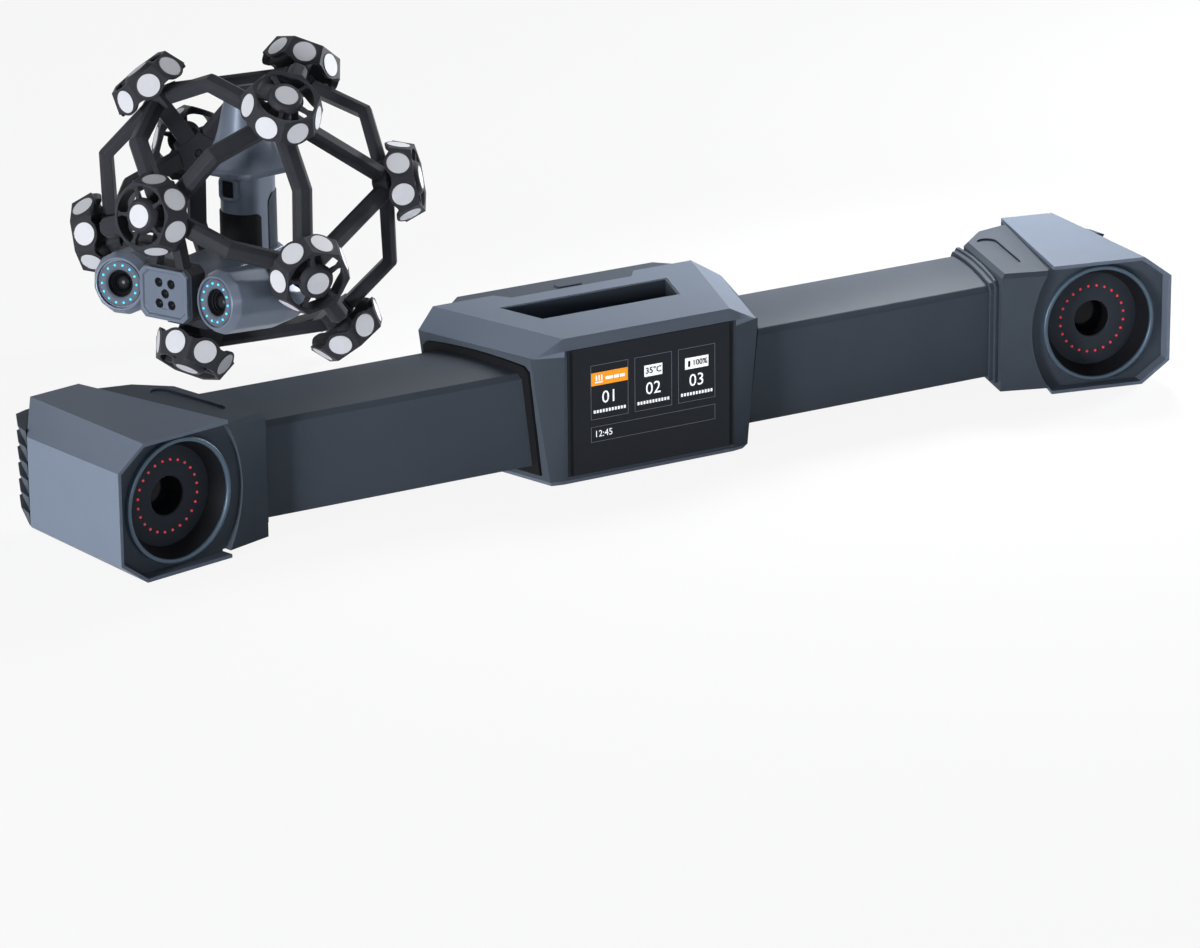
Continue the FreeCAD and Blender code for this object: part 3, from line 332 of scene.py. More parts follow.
def prismFaces(count, start=0):
    # both ends and the sides between two loops of points, the second stored after the first
    loop = [(start + step, start + (step + 1) % count) for step in range(count)]
    ends = [tuple(range(start + count - 1, start - 1, -1)), tuple(range(start + count, start + 2 * count))]
    return ends + [(here, after, after + count, here + count) for here, after in loop]


def latheMesh(profile, sides):
    # closed solid of revolution about +Z from (radius, height) in mm; the profile runs right round
    vertices = []
    for step in range(sides):
        turn = 2 * math.pi * step / sides
        vertices += [(radius * math.cos(turn) * mm, radius * math.sin(turn) * mm, height * mm)
                     for radius, height in profile]
    return vertices, tubeFaces(sides, len(profile))


def lathePiece(name, profile, sides, material, placements, body, node=None, angle=35):
    # one finished piece that holds the same turned shape at each placement
    vertices, faces = latheMesh(profile, sides)
    allVertices = []
    allFaces = []
    for place in placements:
        start = len(allVertices)
        allVertices += [place @ Vector(v) for v in vertices]
        allFaces += [tuple(start + index for index in face) for face in faces]
    obj = meshFrom(name, allVertices, allFaces, material)
    shadeByAngle(obj.data, angle)
    return finishPiece(obj, body, [node] if node else ())


def joinPieces(objects, name):
    # several finished objects become one, each face keeping its material
    bpy.ops.object.select_all(action="DESELECT")
    for obj in objects:
        obj.select_set(True)
    bpy.context.view_layer.objects.active = objects[0]
    bpy.ops.object.join()
    objects[0].name = name
    objects[0].data.name = name
    return objects[0]


# places of the camera windows, in mm and degrees, as in the frame
window = {"spacing": 1000.0, "plane": -100.0, "height": 65.7, "toeIn": 12.0}


def windowPlace(side):
    # turned shapes have +Z going back into the head from the middle of the window
    head = Matrix.Translation((window["spacing"] / 2 * mm, window["plane"] * mm, 0)) @ Matrix.Rotation(
        math.radians(-window["toeIn"]), 4, "Z")
    axis = Matrix.Translation((0, 0, window["height"] * mm)) @ Matrix.Rotation(math.radians(-90), 4, "X")
    place = head @ axis
    if side > 0:
        return place
    return Matrix.Scale(-1, 4, (1, 0, 0)) @ place


windows = [windowPlace(-1), windowPlace(1)]

# CAD nodes that keep their shape: node, material, radius in mm and, where it shows most, three steps
single = {"housing_front_shell": ("front_shell", shellPlastic, 0.9),
          "housing_rear_cover": ("rear_cover", shellPlastic, 1.1),
          "housing_handle_liner": ("handle_liner", shellPlastic, 0.6),
          "top_cover_satin": ("top_cover", satinCover, 1.3, 3), "bottom_cover_satin": ("bottom_cover", satinCover, 1.0),
          "display_cover_glass": ("display_glass", coverGlass, 0.3),
          "display_back": ("display_module", innerNylon, 0.5), "beam_gasket_pair": ("beam_gaskets", softRubber, 0.5),
          "socket_plate": ("socket_panel", innerNylon, 0.5), "inner_frame": ("centre_frame", milledAlloy, 0.4),
          "controller_board": ("main_board", boardLaminate, 0.2)}
mirrored = {"beam_tube_": ("beam_", beamCoat, 1.2, 3), "collar_": ("neck_collar_", shellPlastic, 0.7),
            "head_casing_": ("head_shell_", shellPlastic, 0.8), "hood_panel_": ("hood_", satinCover, 0.9, 3),
            "tail_fins_": ("rear_fins_", shellPlastic, 0.5), "camera_block_": ("camera_core_", milledAlloy, 0.6)}
for name, (node, material, *edge) in single.items():
    softEdged(name, node, material, "tracker", *edge)
for side in ("left", "right"):
    for name, (node, material, *edge) in mirrored.items():
        softEdged(name + side, node + side, material, "tracker", *edge)
softEdged("power_key", "power_button", shellPlastic, "power_key", 0.5)

# plates that close the rear cover's upper corners behind the top cover
cornerPlate = {"outline": [(107.5, 95.0), (121.0, 75.5), (152.5, 75.5), (151.0, 78.6), (111.8, 95.2)], "low": 123.5,
               "high": 125.6, "edge": 0.3}


def cornerPlates():
    vertices = []
    faces = []
    for side in (-1, 1):
        faces += prismFaces(len(cornerPlate["outline"]), len(vertices))
        for level in ("low", "high"):
            vertices += [Vector((side * x, y, cornerPlate[level])) * mm for x, y in cornerPlate["outline"]]
    return vertices, faces


plates = meshFrom("rear_corner_plates", *cornerPlates(), shellPlastic)
finishPiece(soften(plates, cornerPlate["edge"]), "tracker")
print("tracker housings dressed")


# geometry node trees for what repeats
def newTree(name, inputs):
    tree = bpy.data.node_groups.new(name, "GeometryNodeTree")
    tree.interface.new_socket("Geometry", in_out="INPUT", socket_type="NodeSocketGeometry")
    for label, (kind, value) in inputs.items():
        socket = tree.interface.new_socket(label, in_out="INPUT", socket_type=kind)
        socket.default_value = value
    tree.interface.new_socket("Geometry", in_out="OUTPUT", socket_type="NodeSocketGeometry")
    start = addNode(tree, "NodeGroupInput")
    return tree, start


def smoothShape(tree, mesh):
    # round sides smooth, edges over 35 degrees crisp
    angle = addNode(tree, "GeometryNodeInputMeshEdgeAngle")
    soft = addNode(tree, "FunctionNodeCompare", {"operation": "LESS_THAN"},
                   {0: angle.outputs["Unsigned Angle"], 1: math.radians(35)})
    smooth = addNode(tree, "GeometryNodeSetShadeSmooth", {"domain": "EDGE"}, {"Geometry": mesh})
    tree.links.new(soft.outputs["Result"], smooth.inputs["Shade Smooth"])
    return smooth.outputs["Geometry"]


def endTree(tree, instances, material):
    real = addNode(tree, "GeometryNodeRealizeInstances", inputs={"Geometry": instances})
    paint = addNode(tree, "GeometryNodeSetMaterial", inputs={"Geometry": real.outputs["Geometry"],
                                                             "Material": material})
    addNode(tree, "NodeGroupOutput", inputs={"Geometry": paint.outputs["Geometry"]})
    return tree


def aimedPoints(tree, start, shape):
    # the shape stands on each point, its +Z along the point's stored direction
    aim = addNode(tree, "GeometryNodeInputNamedAttribute", {"data_type": "FLOAT_VECTOR"}, {"Name": "aim"})
    turn = addNode(tree, "FunctionNodeAlignRotationToVector", {"axis": "Z"}, {"Vector": aim.outputs["Attribute"]})
    spots = addNode(tree, "GeometryNodeMeshToPoints", inputs={"Mesh": start.outputs["Geometry"]})
    return addNode(tree, "GeometryNodeInstanceOnPoints",
                   inputs={"Points": spots.outputs["Points"], "Instance": smoothShape(tree, shape),
                           "Rotation": turn.outputs["Rotation"]}).outputs["Instances"]


def discTree(name, material):
    # flat round discs with a stated radius and thickness, standing on their points
    tree, start = newTree(name, {"Radius": ("NodeSocketFloat", 0.01), "Thickness": ("NodeSocketFloat", 0.0006),
                                 "Sides": ("NodeSocketInt", 48)})
    disc = addNode(tree, "GeometryNodeMeshCylinder",
                   inputs={"Vertices": start.outputs["Sides"], "Radius": start.outputs["Radius"],
                           "Depth": start.outputs["Thickness"]})
    return endTree(tree, aimedPoints(tree, start, disc.outputs["Mesh"]), material)


def ringTree(name, material):
    # rings with a small square section, standing on their points
    tree, start = newTree(name, {"Radius": ("NodeSocketFloat", 0.011), "Width": ("NodeSocketFloat", 0.0014),
                                 "Sides": ("NodeSocketInt", 48)})
    path = addNode(tree, "GeometryNodeCurvePrimitiveCircle",
                   inputs={"Resolution": start.outputs["Sides"], "Radius": start.outputs["Radius"]})
    section = addNode(tree, "GeometryNodeCurvePrimitiveCircle",
                      inputs={"Resolution": 8, "Radius": start.outputs["Width"]})
    sweep = addNode(tree, "GeometryNodeCurveToMesh",
                    inputs={"Curve": path.outputs["Curve"], "Profile Curve": section.outputs["Curve"]})
    return endTree(tree, aimedPoints(tree, start, sweep.outputs["Mesh"]), material)


def diodeTree(name, material):
    # small domes on a circle: count, circle radius and dome size are inputs
    tree, start = newTree(name, {"Count": ("NodeSocketInt", 24), "Circle Radius": ("NodeSocketFloat", 0.0336),
                                 "Dome Radius": ("NodeSocketFloat", 0.0015), "Turn": ("NodeSocketFloat", 0.0)})
    circle = addNode(tree, "GeometryNodeMeshCircle",
                     inputs={"Vertices": start.outputs["Count"], "Radius": start.outputs["Circle Radius"]})
    dome = addNode(tree, "GeometryNodeMeshUVSphere", inputs={"Segments": 14, "Rings": 8,
                                                             "Radius": start.outputs["Dome Radius"]})
    spots = addNode(tree, "GeometryNodeMeshToPoints", inputs={"Mesh": circle.outputs["Mesh"]})
    placed = addNode(tree, "GeometryNodeInstanceOnPoints",
                     inputs={"Points": spots.outputs["Points"], "Instance": smoothShape(tree, dome.outputs["Mesh"])})
    spin = addNode(tree, "ShaderNodeCombineXYZ", inputs={"Z": start.outputs["Turn"]})
    turned = addNode(tree, "GeometryNodeTransform", inputs={"Geometry": placed.outputs["Instances"],
                                                            "Rotation": spin.outputs["Vector"]})
    return endTree(tree, turned.outputs["Geometry"], material)


def runTree(name, tree, values, source=None):
    obj = linkObject(name, source or bpy.data.meshes.new(name))
    layer = obj.modifiers.new("repeat", "NODES")
    layer.node_group = tree
    for item in tree.interface.items_tree:
        if item.in_out == "INPUT" and item.name in values:
            layer[item.identifier] = values[item.name]
    bakeModifiers(obj)
    material = next(mat for mat in obj.data.materials if mat)
    obj.data.materials.clear()
    obj.data.materials.append(material)
    obj.data.polygons.foreach_set("material_index", [0] * len(obj.data.polygons))
    return obj


def pointMesh(name, spots):
    # points with the direction that each piece on them faces
    mesh = bpy.data.meshes.new(name)
    mesh.from_pydata([tuple(place) for place, aim in spots], [], [])
    aimLayer = mesh.attributes.new("aim", "FLOAT_VECTOR", "POINT")
    for index, (place, aim) in enumerate(spots):
        aimLayer.data[index].vector = aim
    return mesh


def placedCopies(obj, places, name):
    # the baked mesh at each placement, in one mesh; a mirrored place turns its faces back out
    material = obj.data.materials[0]
    whole = bmesh.new()
    for place in places:
        part = obj.data.copy()
        part.transform(place)
        if place.determinant() < 0:
            part.flip_normals()
        whole.from_mesh(part)
        bpy.data.meshes.remove(part)
    mesh = bpy.data.meshes.new(name)
    whole.to_mesh(mesh)
    whole.free()
    bpy.data.objects.remove(obj)
    result = linkMesh(name, mesh, material)
    for face in mesh.polygons:
        face.material_index = 0
    return result


# camera windows: painted ring, matt plate, diodes, sleeve and lens, with profiles of (radius, depth) in mm
windowLook = {"ringRadius": 58.5, "ringBand": 4.6, "ringFront": -3.0, "ringRound": 1.9, "ringBack": 3.0,
              "plateFront": 16.0, "plateBack": 18.4, "diodes": 24, "diodeCircle": 33.6, "diodeRadius": 1.45,
              "diodeTurn": 7.5, "diodeDepth": 0.1, "sleeveFront": 18.5, "sleeveBack": 62.5, "sleeveFloor": 37.2}


def windowRingProfile():
    outer = windowLook["ringRadius"]
    half = windowLook["ringBand"] / 2
    rounding = windowLook["ringRound"]
    profile = [(outer, windowLook["ringBack"])]
    for step in range(9):
        turn = math.radians(22.5 * step)
        profile.append((outer - half + half * math.cos(turn),
                        windowLook["ringFront"] + rounding - rounding * math.sin(turn)))
    profile.append((outer - 2 * half, windowLook["ringBack"]))
    return profile


ringProfile = windowRingProfile()
lathePiece("window_ring_pair", ringProfile, 128, anodisedRing, windows, "tracker", "window_rings")
plateFront = windowLook["plateFront"]
plateBack = windowLook["plateBack"]
plateProfile = [(46.9, plateBack), (46.9, plateFront + 0.3), (46.4, plateFront), (18.9, plateFront),
                (18.2, plateFront + 0.7), (18.2, plateBack)]
lathePiece("diode_plate_pair", plateProfile, 128, anodisedPlate, windows, "tracker", "led_plates")
# a thin black lining laid over the shell's throat in each window: partly the throat's dark inner wall, partly painted
# shade of the recessed throat
throatShadeLiningProfile = [(54.3, 0.1), (47.05, plateFront - 0.1), (46.6, plateFront - 0.1), (53.7, 0.1)]
lathePiece("window_throat_shade_linings", throatShadeLiningProfile, 128, innerNylon, windows, "tracker")
sleeveFloor = windowLook["sleeveFloor"]
sleeveProfile = [(23.9, windowLook["sleeveFront"]), (23.9, windowLook["sleeveBack"]), (0.01, windowLook["sleeveBack"]),
                 (0.01, sleeveFloor), (18.15, sleeveFloor), (18.15, windowLook["sleeveFront"])]
lathePiece("lens_sleeve_pair", sleeveProfile, 96, flockedBlack, windows, "tracker", "lens_barrels")
lensProfile = [(0.01, 31.2), (4.0, 31.3), (8.0, 31.6), (12.0, 32.1), (15.0, 32.6), (17.9, 33.4), (17.9, 36.9),
               (0.01, 36.9)]
lathePiece("tracker_lens_pair", lensProfile, 96, lensGlass, windows, "tracker", "camera_lenses", 60)


def diodeRing(name, material, look, places, body, depth):
    # one ring of diodes at each place, at a depth in mm along its +Z
    ring = runTree(name, diodeTree(name + "Ring", material),
                   {"Count": look["diodes"], "Circle Radius": look["diodeCircle"] * mm,
                    "Dome Radius": look["diodeRadius"] * mm, "Turn": math.radians(look["diodeTurn"])})
    shift = Matrix.Translation((0, 0, depth * mm))
    return finishPiece(placedCopies(ring, [place @ shift for place in places], name), body)


diodeRing("ruby_diodes", rubyDiode, windowLook, windows, "tracker", plateFront + windowLook["diodeDepth"])
print("camera windows made")


# screen: outlined boxes, three badges with numbers or an icon, and a wide box under them
screen = {"front": -85.05, "back": 0.04, "proud": 0.2, "line": 0.45, "lineProud": 0.08, "iconProud": 0.5,
          "bolder": 0.16, "barProud": 0.05, "bars": 11, "barPitch": 3.25, "barWidth": 2.0,
          "boxes": [(-66.0, -25.5, 60.0, 113.0), (-18.5, 22.0, 60.0, 113.0), (29.0, 69.5, 60.0, 113.0),
                    (-66.0, 69.5, 38.0, 53.0)]}


def screenPatch(x0, x1, z0, z1, proud):
    # a thin raised patch of the picture, facing the front
    corners = [(x0, z0), (x1, z0), (x1, z1), (x0, z1)]
    vertices = [(x * mm, y * mm, z * mm) for y in (screen["front"] - proud, screen["front"] + screen["back"])
                for x, z in corners]
    return vertices, [(0, 1, 2, 3), (7, 6, 5, 4), (0, 4, 5, 1), (1, 5, 6, 2), (2, 6, 7, 3), (3, 7, 4, 0)]


def screenPatches(name, boxes, proud, material):
    vertices = []
    faces = []
    for box in boxes:
        points, sides = screenPatch(*box, proud)
        faces += [tuple(len(vertices) + index for index in side) for side in sides]
        vertices += points
    return finishPiece(meshFrom(name, vertices, faces, material), "tracker")


def outline(x0, x1, z0, z1):
    line = screen["line"]
    return [(x0, x1, z0, z0 + line), (x0, x1, z1 - line, z1), (x0, x0 + line, z0 + line, z1 - line),
            (x1 - line, x1, z0 + line, z1 - line)]


def screenText(name, words, x, z, size, material, proud=0.0, align="CENTER", bolder=0.0):
    thickness = 0.03
    curve = bpy.data.curves.new(name, "FONT")
    curve.body = words
    curve.size = size * mm
    curve.align_x = align
    curve.align_y = "CENTER"
    curve.extrude = thickness * mm
    curve.offset = bolder * mm
    curve.resolution_u = 3
    text = linkObject(name, curve)
    mesh = evaluatedMesh(text)
    bpy.data.objects.remove(text)
    mesh.transform(Matrix.Translation((x * mm, (screen["front"] - proud - thickness) * mm, z * mm))
                   @ Matrix.Rotation(math.radians(90), 4, "X"))
    return finishPiece(linkMesh(name, mesh, material), "tracker")


screenPatches("screen_lines", [edge for box in screen["boxes"] for edge in outline(*box)], screen["lineProud"],
              screenLine)
screenPatches("screen_badge_orange", [(-65.4, -26.1, 93.0, 105.5)], screen["proud"], screenOrange)
screenPatches("screen_badges_white", [(-8.0, 11.5, 92.5, 103.5), (36.5, 62.0, 92.0, 103.0)], screen["proud"],
              screenWhite)
# battery icon in the right badge, heating waves in the orange one, and plain bars for the unit names
screenPatches("screen_battery", [(39.5, 42.0, 94.3, 99.6), (40.2, 41.3, 99.6, 100.5)], screen["iconProud"], screenInk)
waves = [(-61.5, -53.0, 95.5, 96.6)] + [(left, left + 1.1, 97.6, 103.0) for left in (-60.5, -57.6, -54.7)]
waves += [(left, right, 97.6, 100.4) for left, right in ((-50.0, -42.5), (-41.0, -36.0), (-34.5, -29.5))]
screenPatches("screen_heat_icon", waves, screen["iconProud"], screenWhite)
for name, words, x, z, size in (("temperature", "35°C", 1.7, 98.0, 8.4), ("charge", "100%", 52.4, 97.5, 7.6)):
    screenText("screen_" + name, words, x, z, size, screenInk, screen["iconProud"], bolder=screen["bolder"])
for name, words, x in (("one", "01", -45.8), ("two", "02", 1.7), ("three", "03", 49.2)):
    screenText("screen_channel_" + name, words, x, 80.0, 17.0, screenWhite)
starts = [left + screen["barPitch"] * index for left in (-63.0, -15.5, 32.0) for index in range(screen["bars"])]
screenPatches("screen_bars", [(left, left + screen["barWidth"], 66.0, 69.0) for left in starts], screen["barProud"],
              screenWhite)
screenText("screen_clock", "12:45", -62.5, 45.4, 9.0, screenWhite, align="LEFT")
screenPatches("screen_side_strips", [(-88.5, -85.2, 9.8, 130.0), (85.2, 88.5, 9.8, 130.0)], 0.03, softRubber)
print("screen made")


# sockets on the back and the tripod thread under the centre
socket = {"spacing": 34.0, "height": 30.0, "face": 92.2, "diodes": 6, "diodeCircle": 3.6, "diodeRadius": 0.6,
          "diodeTurn": math.degrees(0.3), "pinDepth": -5.9}
socketPlaces = [Matrix.Translation((side * socket["spacing"] / 2 * mm, socket["face"] * mm, socket["height"] * mm))
                @ Matrix.Rotation(math.radians(-90), 4, "X") for side in (-1, 1)]
socketProfile = [(8.0, -11.5), (8.0, -1.0), (7.9, -0.4), (7.6, 0.5), (6.6, 0.5), (6.4, 0.2), (6.4, -6.0), (0.01, -6.0),
                 (0.01, -11.5)]
lathePiece("socket_shells", socketProfile, 64, turnedSteel, socketPlaces, "tracker", "sockets")
# the contact pins have round tips, as the diodes do
diodeRing("socket_pins", turnedSteel, socket, socketPlaces, "tracker", socket["pinDepth"])

thread = {"radius": 4.76, "crest": 0.75, "depth": 16.0, "pitch": 1.5875}
threadProfile = [(0.01, thread["depth"])]
for index in range(int(thread["depth"] / thread["pitch"] * 2), -1, -1):
    threadProfile.append((thread["radius"] - (0.0 if index % 2 else thread["crest"]), index * thread["pitch"] / 2))
threadProfile += [(5.6, 0.0), (9.0, 0.0), (9.0, 5.0), (14.0, 5.0), (14.0, 9.0), (9.0, 9.0), (9.0, 22.0), (0.01, 22.0)]
lathePiece("tripod_bush", threadProfile, 64, turnedSteel, [Matrix.Identity(4)], "tracker", "tripod_insert", 20)
print("sockets and thread made")


# hand scanner: everything below is laid out in the cage's frame, x forwards and z up, from the cage's centre
cage = {"centre": (-163.5, 417.0, 158.837), "heading": 205.65, "podReach": 160.0, "hubReach": 137.0, "band": 27.0,
        "facets": 7, "columns": 16, "apothem": 35.5, "slant": 18.0, "wall": 2.6, "lobeRadius": 14.2, "valley": -8.4,
        "filmRadius": 11.3, "filmThick": 0.5, "rimRadius": 11.95, "rimWidth": 0.62, "bossRadius": 18.0,
        "bossHeight": 9.0, "stemRadius": 9.0, "bossProud": 2.0, "spokes": 5}
podTurns = {"top_back": 7.0, "top_left": 2.0, "top_right": 4.0, "upper_front": 21.0, "upper_right": 21.0,
            "upper_left": 0.0, "lower_left": 5.0, "lower_right": 12.0, "foot_front": 22.0, "foot_right": 22.0,
            "foot_left": 22.0}
high = math.sqrt((5 + 2 * math.sqrt(5)) / 15)
low = math.sqrt((5 - 2 * math.sqrt(5)) / 15)
onCage = Matrix.Translation(Vector(cage["centre"]) * mm) @ Matrix.Rotation(math.radians(cage["heading"]), 4, "Z")


def cagePoint(spot):
    # from the cage's frame in mm to the scene
    return onCage @ (Vector(spot) * mm)


def cageDirections():
    layers = [(high, 180.0, ("top_back", "top_left", "top_right")),
              (low, 0.0, ("upper_front", "upper_right", "upper_left")),
              (-low, 180.0, (None, "lower_left", "lower_right")),
              (-high, 0.0, ("foot_front", "foot_right", "foot_left"))]
    directions = {}
    for rise, start, names in layers:
        spread = math.sqrt(1 - rise * rise)
        for index, name in enumerate(names):
            turn = math.radians(start + 120.0 * index)
            if name:
                directions[name] = Vector((spread * math.cos(turn), spread * math.sin(turn), rise))
    return directions


directions = cageDirections()


def podPlace(name):
    # +Z goes out along the pod's direction, and +X hangs down before the pod's own turn
    out = directions[name]
    down = (Vector((0, 0, -1)) + out * out.z).normalized()
    side = out.cross(down)
    turn = math.radians(podTurns[name])
    lead = down * math.cos(turn) + side * math.sin(turn)
    across = out.cross(lead)
    return onCage @ Matrix((lead, across, out)).transposed().to_4x4()


slope = math.tan(math.radians(cage["slant"]))
lean = math.radians(cage["slant"])
bandFront = cage["podReach"] + cage["band"] / 2
podStep = 2 * math.pi / cage["facets"]


def facetApothem(height):
    return cage["apothem"] - (height - cage["podReach"]) * slope


def lobeEdge(across):
    # back edge of a facet: a round lobe under the film, easing into a shallow valley at the creases
    radius = cage["lobeRadius"]
    depth = -math.sqrt(max(radius * radius - across * across, 0.0))
    easing = 1.5
    return -math.log(math.exp(-depth / easing) + math.exp(-cage["valley"] / easing)) * easing


def outwards(bearing):
    return Vector((math.cos(bearing), math.sin(bearing), 0))


def podBand():
    # columns run round the pod; each has two outer and three inner points, and creases fall on columns
    innerFront = facetApothem(bandFront) - 2.4
    innerBack = facetApothem(cage["podReach"] - 6) - cage["wall"] - 0.4
    vertices = []
    for facet in range(cage["facets"]):
        for step in range(cage["columns"]):
            turn = podStep * (-0.5 + step / cage["columns"])
            backHeight = cage["podReach"] + lobeEdge(cage["apothem"] * math.tan(turn)) * math.cos(lean)
            backShare = (bandFront - backHeight) / cage["band"]
            lead = outwards(podStep * facet + turn)
            for reach, height in ((facetApothem(bandFront) / math.cos(turn), bandFront),
                                  (facetApothem(backHeight) / math.cos(turn), backHeight),
                                  (innerFront + (innerBack - innerFront) * backShare, backHeight),
                                  (innerFront + 0.6, bandFront - 3.2), (innerFront, bandFront - 0.9)):
                point = lead * reach
                point.z = height
                vertices.append(point * mm)
    return vertices, tubeFaces(cage["facets"] * cage["columns"], 5)


def podSpokes():
    # webs from the boss to the band, wide where they meet the band
    vertices = []
    faces = []
    inner = cage["bossRadius"] - 4.0
    outer = facetApothem(bandFront) - 1.9
    for index in range(cage["spokes"]):
        lead = outwards(2 * math.pi / cage["spokes"] * (index + 0.5))
        across = Vector((-lead.y, lead.x, 0))
        faces += prismFaces(6, len(vertices))
        for height in (bandFront - 6.6, bandFront - 1.8):
            for reach, half in ((inner, 2.6), (outer - 4.5, 1.5), (outer, 3.6), (outer, -3.6), (outer - 4.5, -1.5),
                                (inner, -2.6)):
                point = lead * reach + across * half
                point.z = height
                vertices.append(point * mm)
    return vertices, faces


def podBoss():
    top = bandFront + cage["bossProud"]
    under = top - cage["bossHeight"]
    radius = cage["bossRadius"]
    hubFace = cage["hubReach"] + 7.5
    profile = [(0.01, hubFace), (cage["stemRadius"] + 2.5, hubFace), (cage["stemRadius"], hubFace + 4.0),
               (cage["stemRadius"], under - 1.6), (radius - 4.0, under), (radius - 0.9, under + 0.8),
               (radius - 0.2, under + 1.8), (radius, under + 3.0), (radius - 0.5, under + 4.4), (14.9, top - 0.7),
               (14.2, top - 0.1), (13.4, top), (12.3, top), (12.0, top - 0.5), (0.01, top - 0.5)]
    return latheMesh(profile, 56)


def buildPod():
    # one pod at its own origin, softened, ready to be copied
    parts = []
    for name, shape, width in (("podBand", podBand(), 0.55), ("podSpokes", podSpokes(), 0.4),
                               ("podBoss", podBoss(), 0.0)):
        part = meshFrom(name, *shape, sinteredNylon)
        part.data.shade_smooth()
        if width:
            soften(part, width, 2, 28)
        else:
            shadeByAngle(part.data, 38)
        parts.append(part)
    return joinPieces(parts, "podPattern")


podPattern = buildPod()
podGroups = {"marker_pods_top": "top_", "marker_pods_upper": "upper_", "marker_pods_lower": "lower_",
             "marker_pods_foot": "foot_"}
for node, start in podGroups.items():
    names = [name for name in directions if name.startswith(start)]
    pattern = podPattern.copy()
    pattern.data = podPattern.data.copy()
    scene.collection.objects.link(pattern)
    pods = placedCopies(pattern, [podPlace(name) for name in names], node.replace("marker_pods", "pod_set"))
    finishPiece(pods, "hand_scanner", [node])
bpy.data.objects.remove(podPattern)


def filmSpots(lift):
    # where the reflective films lie: one on each facet and one on each boss
    spots = []
    for name in directions:
        place = podPlace(name)
        turnOnly = place.to_3x3()
        for index in range(cage["facets"]):
            lead = outwards(podStep * index)
            aim = lead * math.cos(lean) + Vector((0, 0, math.sin(lean)))
            middle = lead * cage["apothem"] + Vector((0, 0, cage["podReach"]))
            spots.append((place @ ((middle + aim * lift) * mm), (turnOnly @ aim).normalized()))
        top = bandFront + cage["bossProud"] - 0.5
        spots.append((place @ (Vector((0, 0, top + lift)) * mm), (turnOnly @ Vector((0, 0, 1))).normalized()))
    return spots


films = runTree("reflective_films", discTree("filmDiscs", beadFilm),
                {"Radius": cage["filmRadius"] * mm, "Thickness": cage["filmThick"] * mm},
                pointMesh("filmPoints", filmSpots(0.2)))
finishPiece(films, "hand_scanner")
rims = runTree("film_rims", ringTree("filmRims", markerRimInk),
               {"Radius": cage["rimRadius"] * mm, "Width": cage["rimWidth"] * mm},
               pointMesh("rimPoints", filmSpots(0.05)))
finishPiece(rims, "hand_scanner")
print("marker pods made:", len(directions))

for node in ("cage_hubs", "cage_struts_top", "cage_struts_upper", "cage_struts_lower"):
    softEdged(node.replace("cage_", "nylon_"), node, sinteredNylon, "hand_scanner", 0.9, 2)


def hubScrewSpots():
    # screws in the hubs' inner faces
    return [(onCage @ (directions[name] * (cage["hubReach"] - 5.5) * mm),
             (onCage.to_3x3() @ (directions[name] * -1.0)).normalized()) for name in directions]


hubScrews = runTree("hub_screws", discTree("screwHeads", blackScrew),
                    {"Radius": 3.4 * mm, "Thickness": 3.0 * mm, "Sides": 20}, pointMesh("hubPoints", hubScrewSpots()))
finishPiece(hubScrews, "hand_scanner")
print("cage made")

scannerEdges = {"scanner_head": (castingPaint, 1.6), "head_keel": (sinteredNylon, 1.2),
                "front_tie": (sinteredNylon, 1.0), "chin_bracket": (sinteredNylon, 0.8),
                "side_lugs": (sinteredNylon, 1.0),
                "handle_shell": (castingPaint, 1.0),
                "handle_spine": (innerNylon, 1.0), "clamp_screw": (blackScrew, 0.3)}
for node, (material, width) in scannerEdges.items():
    softEdged("scanner_" + node.replace("scanner_", ""), node, material, "hand_scanner", width)
softEdged("trigger_key", "trigger", softRubber, "trigger_key", 1.2, 3)

# handle: section of 58 by 45 mm with 20 mm corners, pad round its front, panels at its back, guard round the trigger
handle = {"cornerX": 9.0, "cornerY": 2.5, "corner": 20.0, "low": -40.0, "padTop": 0.0, "padBack": 9.6, "padThick": 1.2,
          "padRound": 4.0, "panelFront": -3.0, "panelThick": 0.8, "panelLow": 9.0, "panelTop": 17.0, "panelEnd": 165.0,
          "guardFront": 33.3, "guardBack": 22.0, "guardOuter": (11.2, 12.8, 6.2), "guardInner": (6.9, 8.4, 2.4),
          "guardHeight": 26.0}


def sectionPath(grow, start, finish, steps=12):
    # points of the handle's outline from the middle of its left side, x forward, going round to the back
    reach = handle["corner"] + grow
    points = [(start, handle["cornerY"] + reach)]
    for step in range(steps + 1):
        turn = math.radians(90 + (finish - 90) * step / steps)
        points.append((-handle["cornerX"] + reach * math.cos(turn), handle["cornerY"] + reach * math.sin(turn)))
    return points


def padPath(grow, steps=12):
    # the same outline round the front, from the pad's edge on one side to its edge on the other
    reach = handle["corner"] + grow
    half = [(handle["padBack"], handle["cornerY"] + reach)] if handle["padBack"] < handle["cornerX"] else []
    first = 90.0
    if handle["padBack"] > handle["cornerX"]:
        first = math.degrees(math.acos((handle["padBack"] - handle["cornerX"]) / reach))
    for step in range(steps + 1):
        turn = math.radians(first * (1 - step / steps))
        half.append((handle["cornerX"] + reach * math.cos(turn), handle["cornerY"] + reach * math.sin(turn)))
    return half + [(x, -y) for x, y in reversed(half)]


def shellStrip(outer, inner, low, tops):
    # a strip that stands on end between two matching paths, with its own top height at each point
    count = len(outer)
    vertices = [cagePoint((x, y, low)) for x, y in outer + inner]
    vertices += [cagePoint((x, y, tops[index % count])) for index, (x, y) in enumerate(outer + inner)]
    faces = []
    top = 2 * count
    for step in range(count - 1):
        a, b, c, d = step, step + 1, step + 1 + count, step + count
        faces += [(a, b, b + top, a + top), (d, c, c + top, d + top), (a, b, c, d),
                  (a + top, b + top, c + top, d + top)]
    for end in (0, count - 1):
        faces.append((end, end + count, end + 3 * count, end + 2 * count))
    return vertices, faces


